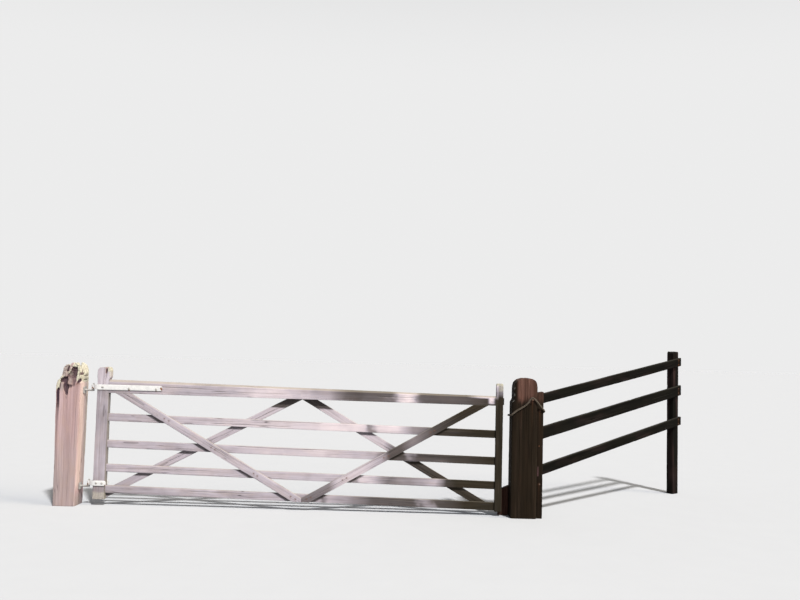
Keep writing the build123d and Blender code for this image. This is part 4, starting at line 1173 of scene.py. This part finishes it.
# painted light on the batten's top; the shaded copy below
def batten_sun(v):
    n = fbm(v * np.array((30, 30, 3.0)), 70, 2)
    return np.clip(0.02 + 0.50 * smooth(v[:, 2], 1.15, 1.25) * (0.3 + 0.8 * n), 0, 1)


timber("latch_post_batten_timber", "latch_post_batten", POST_R, ((4.876 + 4.942) / 2, -0.025, 0), (0, 0, 1),
       0.0330, 0.070, cut((0, 0, 1), (0, 0, 0)), cut((-0.14, 0, 1), (4.909, 0, 1.294)), A=(-1, 0, 0), seed=63,
       radii=0.0045, cell=0.0085, step=0.012, nick=0.003, chip=0.006, rings=5, wob=0.0012, painted_light=batten_sun,
       # painted shade: darker still towards the foot
       stain_and_shade=lambda v: 0.42 * (1 - smooth(v[:, 2], 0.35, 0.80)),
       cracks=shakes(101, ("+b", "-b", "-a"), 0.1, 1.25, 6, (0.05, 0.022), d=(0.004, 0.010)),
       rust=[((4.905, -0.095, 1.10), 0.08, 0.8), ((4.905, -0.095, 0.35), 0.08, 0.8)])

timber("gate_stop_block_timber", "gate_stop_block", POST_R, ((4.500 + 4.612) / 2, (0.045 + 0.122) / 2, 0), (0, 0, 1),
       0.0558, 0.0383, cut((0, 0, 1), (0, 0, 0)),
       [cut((-0.39, 0, 1), (4.612, 0, 0.306)), cut((-0.6, 0, 1), (4.566, 0, 0.288)), cut((-2.6, 0, 1), (4.506, 0, 0.252))],
       A=(-1, 0, 0), seed=64, radii=0.005, cell=0.0085, step=0.012, nick=0.004, chip=0.008, rings=6, wob=0.002,
       # a half-lit copy of its colour all over: painted light
       end_rough=0.003, painted_light=lambda v: np.full(len(v), 0.55),
       cracks=shakes(103, ("+b", "-b"), 0.0, 0.26, 2, (0.02, 0.03), span=(0.12, 0.2)))

# -------------------------------------------------------------- the fence

AZ, RISE = math.radians(43.2), 0.1500
run = np.array((math.cos(AZ), math.sin(AZ), 0.0))
road = np.array((math.sin(AZ), -math.cos(AZ), 0.0))
f0 = np.array((4.942, -0.055, 0.0))
f_mid = f0 - road * 0.020
Lf = run + np.array((0, 0, RISE))
Lf /= np.linalg.norm(Lf)
Af = np.array((0, 0, 1.0)) - Lf * Lf[2]
Af /= np.linalg.norm(Af)
FBAY = 2.740
END = f0 + run * (FBAY + 0.0585)


def rail_sun(v):
    """Nearly black: the shaded copy, with the lit copy (painted light) in patches and at the lowest rail's end."""
    n = fbm(v * np.array((3, 3, 9.0)), 72, 3)
    return np.clip(0.12 * smooth(n, 0.45, 0.8) + 1.0 * (v[:, 1] < -0.085) * (v[:, 2] < 0.6), 0, 1)


post_nails = []
for i, (key, (zc, depth)) in enumerate({"top": (1.228, 0.104), "middle": (0.872, 0.128), "bottom": (0.490, 0.102)}.items()):
    if key == "bottom":
        lo = [cut((1, 0, 0), (4.880, 0, 0)), cut((0, 1, 0), (0, -0.0975, 0))]
    else:
        lo = cut((1, 0, 0), (4.912, 0, 0))
    # the section is square to the slope, so its depth is a little less
    hgt = float(depth / 2 * (Lf @ run))
    rail_nails = []
    for s in (-0.028, 0.028):
        p = f0 + run * FBAY + np.array((0, 0, zc + RISE * FBAY + s))
        post_nails.append(p)
        rail_nails.append((tuple(p), 0.06, 0.7))
    timber(f"fence_rail_{key}_timber", f"fence_rail_{key}", FENCE, f_mid + np.array((0, 0, zc)), Lf, hgt, 0.020,
           lo, cut(run, END), A=Af, seed=70 + i, radii=0.004, cell=0.010, step=0.014, nick=0.003, chip=0.008,
           wob=0.0018, rings=5, painted_light=rail_sun, rust=rail_nails,
           cracks=shakes(110 + i, ("+b", "-b", "+a"), 0.2, 2.7, 6, (0.012, 0.036), d=(0.005, 0.012)))

fp_top = 1.228 + 0.052 + RISE * FBAY + 0.091
fp_c = f0 - road * (0.040 + 0.045) + run * FBAY


def fp_head(a, b):
    n = fbm(stack(a * 50, b * 50, a * 0), 4, 3)
    return fp_top - 0.003 - 0.012 * smooth(-a, 0.04, 0.0625) - 0.018 * smooth(a, 0.04, 0.0625) - 0.006 * n


timber("fence_post_timber", "fence_post", FENCE, (fp_c[0], fp_c[1], 0), (0, 0, 1), 0.0625, 0.045,
       cut((0, 0, 1), (0, 0, 0)), fp_head, A=-run, seed=74, radii=0.005, cell=0.009, step=0.013, nick=0.003,
       chip=0.007, wob=0.0015, rings=7, end_rough=0.003,
       # painted light: the lit copy of the colour in patches
       painted_light=lambda v: 0.4 * smooth(fbm(v * np.array((9, 9, 2.0)), 73, 3), 0.45, 0.8),
       cracks=shakes(120, ("+b", "-b", "+a", "-a"), 0.1, 1.7, 8, (0.028, 0.045), d=(0.006, 0.014)))

# ------------------------------------------------------- hinges and hooks


def bar_sweep(name, path, z_of, half_h, half_t, mat, rust=(), round_=0.0016):
    """Flat bar on edge, bent along a path in plan.  path: list of (x, y);
    z_of(i): centre height; half_h(i), half_t(i): half its height and thickness."""
    pts = np.array(path, float)
    tang = np.gradient(pts, axis=0)
    tang /= np.linalg.norm(tang, axis=1)[:, None]
    nrm = np.stack([-tang[:, 1], tang[:, 0]], 1)
    prof = []
    for k, (sx, sz) in enumerate(((1, 1), (-1, 1), (-1, -1), (1, -1))):
        for q in range(4):
            t = math.radians(90 * k + 30 * q)
            prof.append((sx, sz, math.cos(t), math.sin(t)))
        # points along the flat, so that the rust can vary across it
        if k in (1, 3):
            for q in (0.5, 0.0, -0.5):
                prof.append((sx, q * sz, None, None))
    verts, faces = [], []
    m = len(prof)
    for i in range(len(pts)):
        h, t = half_h(i), half_t(i)
        for sx, sz, c, s in prof:
            if c is None:
                o, zz = sx * t, sz * h
            else:
                o, zz = sx * (t - round_) + round_ * c, sz * (h - round_) + round_ * s
            verts.append((pts[i, 0] + nrm[i, 0] * o, pts[i, 1] + nrm[i, 1] * o, z_of(i) + zz))
    for i in range(len(pts) - 1):
        for j in range(m):
            k = (j + 1) % m
            faces.append((i * m + j, i * m + k, (i + 1) * m + k, (i + 1) * m + j))
    faces.append(tuple(range(m))[::-1])
    faces.append(tuple((len(pts) - 1) * m + j for j in range(m)))
    v = np.array(verts)
    rv = np.zeros(len(v))
    for p, reach in rust:
        rv = np.maximum(rv, np.exp(-((v - np.array(p)) ** 2).sum(1) / reach ** 2))
    obj = make_object(name, v, faces, mat, {"rust": rv})
    # the winding depends on the way the path turns
    bm = bmesh.new()
    bm.from_mesh(obj.data)
    bmesh.ops.recalc_face_normals(bm, faces=bm.faces)
    bm.to_mesh(obj.data)
    bm.free()
    obj.data.set_sharp_from_angle(angle=math.radians(50))
    return obj


def band(name, node, z_at, tip_x, half_strap, rust):
    """Double strap: from the front tip to the eye, round the pin and back."""
    y = 0.0405
    path, kind = [], []

    def go(x, yy, k):
        path.append((x, yy))
        kind.append(k)

    n = max(2, int((tip_x - 0.285) / 0.010))
    for i in range(n + 1):
        go(tip_x - (tip_x - 0.282) * i / n, -y, 0.0)
    # bend in to the eye, then round it, then out again
    cx, R = 0.215, 0.0158
    entry = [(0.276, -y, 0.10), (0.268, -0.0398, 0.25), (0.259, -0.0372, 0.45), (0.248, -0.0325, 0.65),
             (0.238, -0.0270, 0.82), (0.229, -0.0212, 0.94)]
    for x, yy, k in entry:
        go(x, yy, k)
    for i in range(25):
        t = math.radians(-52 - (360 - 104) * i / 24)
        go(cx + R * math.cos(t), R * math.sin(t), 1.0)
    for x, yy, k in entry[::-1]:
        go(x, -yy, k)
    for i in range(n + 1):
        go(0.282 + (tip_x - 0.282) * i / n, y, 0.0)
    eye_h, eye_t, strap_t = 0.0215, 0.0042, 0.00295

    def hh(i):
        x = path[i][0]
        h = half_strap + (eye_h - half_strap) * kind[i]
        if kind[i] == 0 and x > tip_x - 0.018:
            u = (x - (tip_x - 0.018)) / 0.018
            h = h * (1 - 0.45 * u ** 2.2)
        return h

    def tt(i):
        return strap_t + (eye_t - strap_t) * kind[i]

    obj = bar_sweep(name, path, lambda i: z_at(path[i][0]), hh, tt, ZINC, rust)
    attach(obj, "gate_leaf")
    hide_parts(node)
    return obj


ts = line(HEEL_X0, 1.231, 0.950, 1.230)
band("top_hinge_band_forged", "top_hinge_band", lambda x: ts[0] + ts[1] * x, 0.9498, 0.0273,
     [((0.945, -0.0435, 1.225), 0.022), ((0.935, 0.0435, 1.225), 0.030), ((0.888, -0.0435, 1.207), 0.016),
      ((0.603, -0.0435, 1.207), 0.012), ((0.215, 0.0, 1.212), 0.032), ((0.603, 0.0435, 1.212), 0.025)])
band("bottom_hinge_band_forged", "bottom_hinge_band", lambda x: 0.232, 0.4018, 0.0268,
     [((0.215, 0.0, 0.212), 0.030), ((0.398, -0.0435, 0.212), 0.012), ((0.30, 0.0435, 0.225), 0.028)])

for n in ("top_hook", "bottom_hook"):
    NODES[n].data.materials.clear()
    NODES[n].data.materials.append(IRON)
NODES["rope_nail"].data.materials.clear()
NODES["rope_nail"].data.materials.append(RUSTED)


def lathe(profile, centre, axis, seg=20, turn=0.0):
    """Solid of revolution: profile is (distance along axis, radius) pairs."""
    axis = np.array(axis, float)
    axis /= np.linalg.norm(axis)
    u = np.cross(axis, (0.0, 0.0, 1.0))
    if np.linalg.norm(u) < 0.1:
        u = np.cross(axis, (1.0, 0.0, 0.0))
    u /= np.linalg.norm(u)
    w = np.cross(axis, u)
    verts, faces = [], []
    for d, r in profile:
        for k in range(seg):
            t = 2 * math.pi * k / seg + turn
            verts.append(np.array(centre) + axis * d + r * (math.cos(t) * u + math.sin(t) * w))
    for i in range(len(profile) - 1):
        for k in range(seg):
            q = (k + 1) % seg
            faces.append((i * seg + k, i * seg + q, (i + 1) * seg + q, (i + 1) * seg + k))
    faces.append(tuple(range(seg))[::-1])
    faces.append(tuple((len(profile) - 1) * seg + k for k in range(seg)))
    return verts, faces


def merged(name, bits, mat, body, rust=0.0):
    verts, faces = [], []
    for v, f in bits:
        o = len(verts)
        verts += [tuple(p) for p in v]
        faces += [tuple(o + i for i in q) for q in f]
    obj = make_object(name, verts, faces, mat, {"rust": np.zeros(len(verts)) + rust})
    obj.data.set_sharp_from_angle(angle=math.radians(40))
    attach(obj, body)
    return obj


def nail(p, axis, r=0.0048, seat=0.0010):
    """Hammered round head, a little askew."""
    j = nail_jit
    ax = np.array(axis, float) + np.array((j.uniform(-.08, .08), j.uniform(-.08, .08), j.uniform(-.08, .08)))
    r = r * j.uniform(0.9, 1.15)
    prof = [(-0.003, r * 0.93), (seat * 0.3, r), (seat, r * 0.97), (seat + 0.0007, r * 0.80),
            (seat + 0.0011, r * 0.45), (seat + 0.0012, r * 0.08)]
    return lathe(prof, p, ax, seg=12, turn=j.uniform(0, 1))


def bolt(p, axis, r=0.012):
    """Coach bolt: domed head on a round seat."""
    prof = [(-0.002, r * 0.98), (0.0012, r)]
    for k in range(1, 8):
        t = math.radians(90 * k / 8)
        prof.append((0.0012 + 0.0052 * math.sin(t), r * math.cos(t)))
    prof.append((0.0064, 0.0004))
    return lathe(prof, p, axis, seg=24)


def nut(p, axis, turn):
    """Square nut on a round washer, with the bolt's end standing through."""
    return [lathe([(-0.001, 0.0165), (0.0018, 0.0165), (0.0022, 0.0158)], p, axis, 24),
            lathe([(0.0022, 0.0128), (0.0028, 0.0136), (0.0098, 0.0136), (0.0106, 0.0124)], p, axis, 4, turn),
            lathe([(0.009, 0.0049), (0.0150, 0.0049), (0.0160, 0.0040)], p, axis, 14)]


zin = 0.0004
strap_bolts = TOP_BOLTS + [(0.302, 0.232), (0.362, 0.232)]
merged("hinge_bolt_heads", [bolt((x, -0.0435 + zin, z), (0, -1, 0)) for x, z in strap_bolts],
       IRON, "gate_leaf", 0.12)
bits = []
for i, (x, z) in enumerate(strap_bolts):
    bits += nut((x, 0.0435 - zin, z), (0, 1, 0), 0.3 + 0.5 * i)
merged("hinge_bolt_nuts", bits, IRON, "gate_leaf", 0.25)

bits = [nail((x, -0.0375 + 0.0008, z), (0, -1, 0)) for x, z in nails_front]
bits += [nail((x, 0.0375 - 0.0008, z), (0, 1, 0)) for x, z in nails_back]
merged("leaf_nails", bits, RUSTED, "gate_leaf")
bits = [nail(p + road * -0.0012, road, r=0.0055) for p in post_nails]
bits += [nail((4.905 + dx, -0.095 + 0.0010, z), (0, -1, 0), r=0.0065)
         for dx, z in ((0, 1.10), (0.006, 0.35), (-0.004, 0.74))]
merged("fence_nails", bits, RUSTED, "posts")

# ---------------------------------------------------------------- the rope

# control points of the rope's line, laid round the post, over the nail
# and round the cleat; each corner has a point on either side of it
ROPE = [
    (4.6014, -0.0840, 1.049), (4.6014, -0.1406, 1.052), (4.6500, -0.1406, 1.097), (4.7050, -0.1406, 1.128),
    (4.7750, -0.1406, 1.176), (4.8060, -0.1406, 1.235), (4.8330, -0.1406, 1.236), (4.8790, -0.1406, 1.184),
    (4.9250, -0.1180, 1.131), (4.9526, -0.1036, 1.100), (4.9526, -0.0450, 1.090), (4.9526, 0.0100, 1.081),
    (4.9526, 0.0556, 1.074), (4.9150, 0.1010, 1.064), (4.8820, 0.1406, 1.056), (4.8250, 0.1406, 1.052),
    (4.6600, 0.1406, 1.041), (4.6014, 0.1406, 1.038), (4.6014, 0.0840, 1.041),
]


def rope_line():
    """Points along the smooth closed line through the rope's route."""
    cu = bpy.data.curves.new("rope_line", "CURVE")
    cu.dimensions = "3D"
    sp = cu.splines.new("NURBS")
    sp.points.add(len(ROPE) - 1)
    for q, c in zip(sp.points, ROPE):
        q.co = (*c, 1.0)
    sp.use_cyclic_u = True
    sp.order_u = 3
    sp.resolution_u = 12
    ob = bpy.data.objects.new("rope_line", cu)
    bpy.context.scene.collection.objects.link(ob)
    bpy.context.view_layer.update()
    me = bpy.data.meshes.new_from_object(ob)
    pts = [v.co.copy() for v in me.vertices]
    bpy.data.objects.remove(ob)
    bpy.data.curves.remove(cu)
    bpy.data.meshes.remove(me)
    return pts


def resample(pts, step):
    pts = np.array([tuple(p) for p in pts])
    closed = np.vstack([pts, pts[:1]])
    seg = np.linalg.norm(np.diff(closed, axis=0), axis=1)
    s = np.concatenate([[0], np.cumsum(seg)])
    n = int(s[-1] / step)
    t = np.linspace(0, s[-1], n, endpoint=False)
    return np.stack([np.interp(t, s, closed[:, k]) for k in range(3)], 1), s[-1]


rp, rope_len = resample(rope_line(), 0.0032)
tan = np.roll(rp, -1, 0) - np.roll(rp, 1, 0)
tan /= np.linalg.norm(tan, axis=1)[:, None]
# a frame that turns with the line but not about it
nr = np.zeros_like(rp)
nr[0] = np.cross(tan[0], (0, 0, 1))
nr[0] /= np.linalg.norm(nr[0])
for i in range(1, len(rp)):
    v = nr[i - 1] - tan[i] * (nr[i - 1] @ tan[i])
    nr[i] = v / np.linalg.norm(v)
last = nr[-1] - tan[0] * (nr[-1] @ tan[0])
last /= np.linalg.norm(last)
twist = math.atan2(np.cross(nr[0], last) @ tan[0], nr[0] @ last)
bn = np.cross(tan, nr)
turns = round(rope_len / 0.058)
verts, faces, gv, wr = [], [], [], []
N, M = len(rp), 12
jig = random.Random(8)
for strand in range(3):
    base = len(verts)
    for i in range(N):
        u = i / N
        ang = 2 * math.pi * (turns * u + strand / 3) - twist * u
        off = math.cos(ang) * nr[i] + math.sin(ang) * bn[i]
        # the strand's own direction, for a round section
        dirn = tan[i] + (2 * math.pi * turns / rope_len) * 0.0047 * (-math.sin(ang) * nr[i] + math.cos(ang) * bn[i])
        dirn /= np.linalg.norm(dirn)
        e1 = off - dirn * (off @ dirn)
        e1 /= np.linalg.norm(e1)
        e2 = np.cross(dirn, e1)
        rr = 0.0050 * (1 + 0.05 * math.sin(i * 0.7 + strand) + jig.uniform(-0.03, 0.03))
        for k in range(M):
            t = 2 * math.pi * k / M
            verts.append(rp[i] + 0.0047 * off + rr * (math.cos(t) * e1 + math.sin(t) * e2))
            gv.append((i * 0.0032, k / M * 0.03, strand * 0.31))
            wr.append(math.cos(t))
    for i in range(N):
        j = (i + 1) % N
        for k in range(M):
            q = (k + 1) % M
            faces.append((base + i * M + k, base + j * M + k, base + j * M + q, base + i * M + q))
t = Tree("old_rope")
g = t.attr("gco", vector=True)
w = t.attr("wear_and_shade")
fib = t.noise(t.scaled(g, (420, 150, 1)), 3, 0.6)
parts = t.node("ShaderNodeSeparateXYZ", {0: g})
yarn = t.math("SINE", t.math("ADD", t.math("MULTIPLY", parts.outputs[0], 900.0),
                             t.math("MULTIPLY", parts.outputs[1], 1400.0)))
dirt = t.noise(t.scaled(g, (9, 9, 9)), 3, 0.6)
c = t.mix(t.remap(fib, 0.3, 0.7), (0.048, 0.038, 0.029), (0.112, 0.092, 0.072))
# painted shade: each strand is dark on its inner side, where it lies against the others
c = t.mix(t.remap(w, 0.1, 1.0), (0.018, 0.014, 0.010), c)
c = t.mix(t.remap(dirt, 0.5, 0.75, 0.0, 0.5), c, (0.050, 0.038, 0.028))
ROPE_MAT = t.finish(c, 0.9, t.math("ADD", t.math("MULTIPLY", yarn, 0.25), fib), 0.7, 0.0010, spec=0.15)
rope = make_object("rope_strands", verts, faces, ROPE_MAT, {"gco": np.array(gv), "wear_and_shade": np.array(wr)})
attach(rope, "posts")
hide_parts("rope_loop")

# --------------------------------------------------------- floor and light

floor_mesh = bpy.data.meshes.new("floor")
S = 160.0
floor_mesh.from_pydata([(-S, -S, 0), (S, -S, 0), (S, S, 0), (-S, S, 0)], [], [(0, 1, 2, 3)])
floor = bpy.data.objects.new("floor", floor_mesh)
bpy.context.scene.collection.objects.link(floor)
t = Tree("pale_floor")
grit = t.noise(t.node("ShaderNodeTexCoord").outputs["Object"], 4, 0.6, scale=3.0)
floor_mesh.materials.append(t.finish(t.mix(grit, (0.337, 0.348, 0.367), (0.350, 0.361, 0.381)), 0.95, grit, 0.04, 0.002,
                                     spec=0.0))
floor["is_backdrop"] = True

world = bpy.data.worlds.new("studio")
bpy.context.scene.world = world
world.use_nodes = True
wn = world.node_tree
wn.nodes.clear()
geo = wn.nodes.new("ShaderNodeTexCoord")
sx = wn.nodes.new("ShaderNodeSeparateXYZ")
wn.links.new(geo.outputs["Generated"], sx.inputs[0])
ramp = wn.nodes.new("ShaderNodeMapRange")
ramp.interpolation_type = "SMOOTHSTEP"
wn.links.new(sx.outputs[2], ramp.inputs["Value"])
ramp.inputs["From Min"].default_value, ramp.inputs["From Max"].default_value = 0.30, 0.80
ramp.inputs["To Min"].default_value, ramp.inputs["To Max"].default_value = 0.0, 1.0
wmix = wn.nodes.new("ShaderNodeMix")
wmix.data_type = "RGBA"
wn.links.new(ramp.outputs["Result"], wmix.inputs[0])
wmix.inputs[6].default_value = (0.84, 0.84, 0.84, 1)
wmix.inputs[7].default_value = (0.25, 0.26, 0.29, 1)
bg = wn.nodes.new("ShaderNodeBackground")
wn.links.new(wmix.outputs[2], bg.inputs[0])
bg.inputs[1].default_value = 1.0
wo = wn.nodes.new("ShaderNodeOutputWorld")
wn.links.new(bg.outputs[0], wo.inputs[0])


def distant(name, toward, power, degrees, colour):
    """A far, soft light.  toward: the way to the light from the object."""
    data = bpy.data.lights.new(name, "SUN")
    data.energy = power
    data.angle = math.radians(degrees)
    data.color = colour
    ob = bpy.data.objects.new(name, data)
    ob.rotation_mode = "QUATERNION"
    ob.rotation_quaternion = (-Vector(toward)).to_track_quat("-Z", "Y")
    bpy.context.scene.collection.objects.link(ob)


distant("key", (0.27, -0.57, 0.775), 6.5, 4, (1.0, 0.975, 0.94))
distant("side", (0.86, -0.25, 0.44), 2.9, 30, (1.0, 0.87, 0.66))

# the colours are set for a plain display curve
bpy.context.scene.view_settings.view_transform = "Standard"

lo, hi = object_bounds()
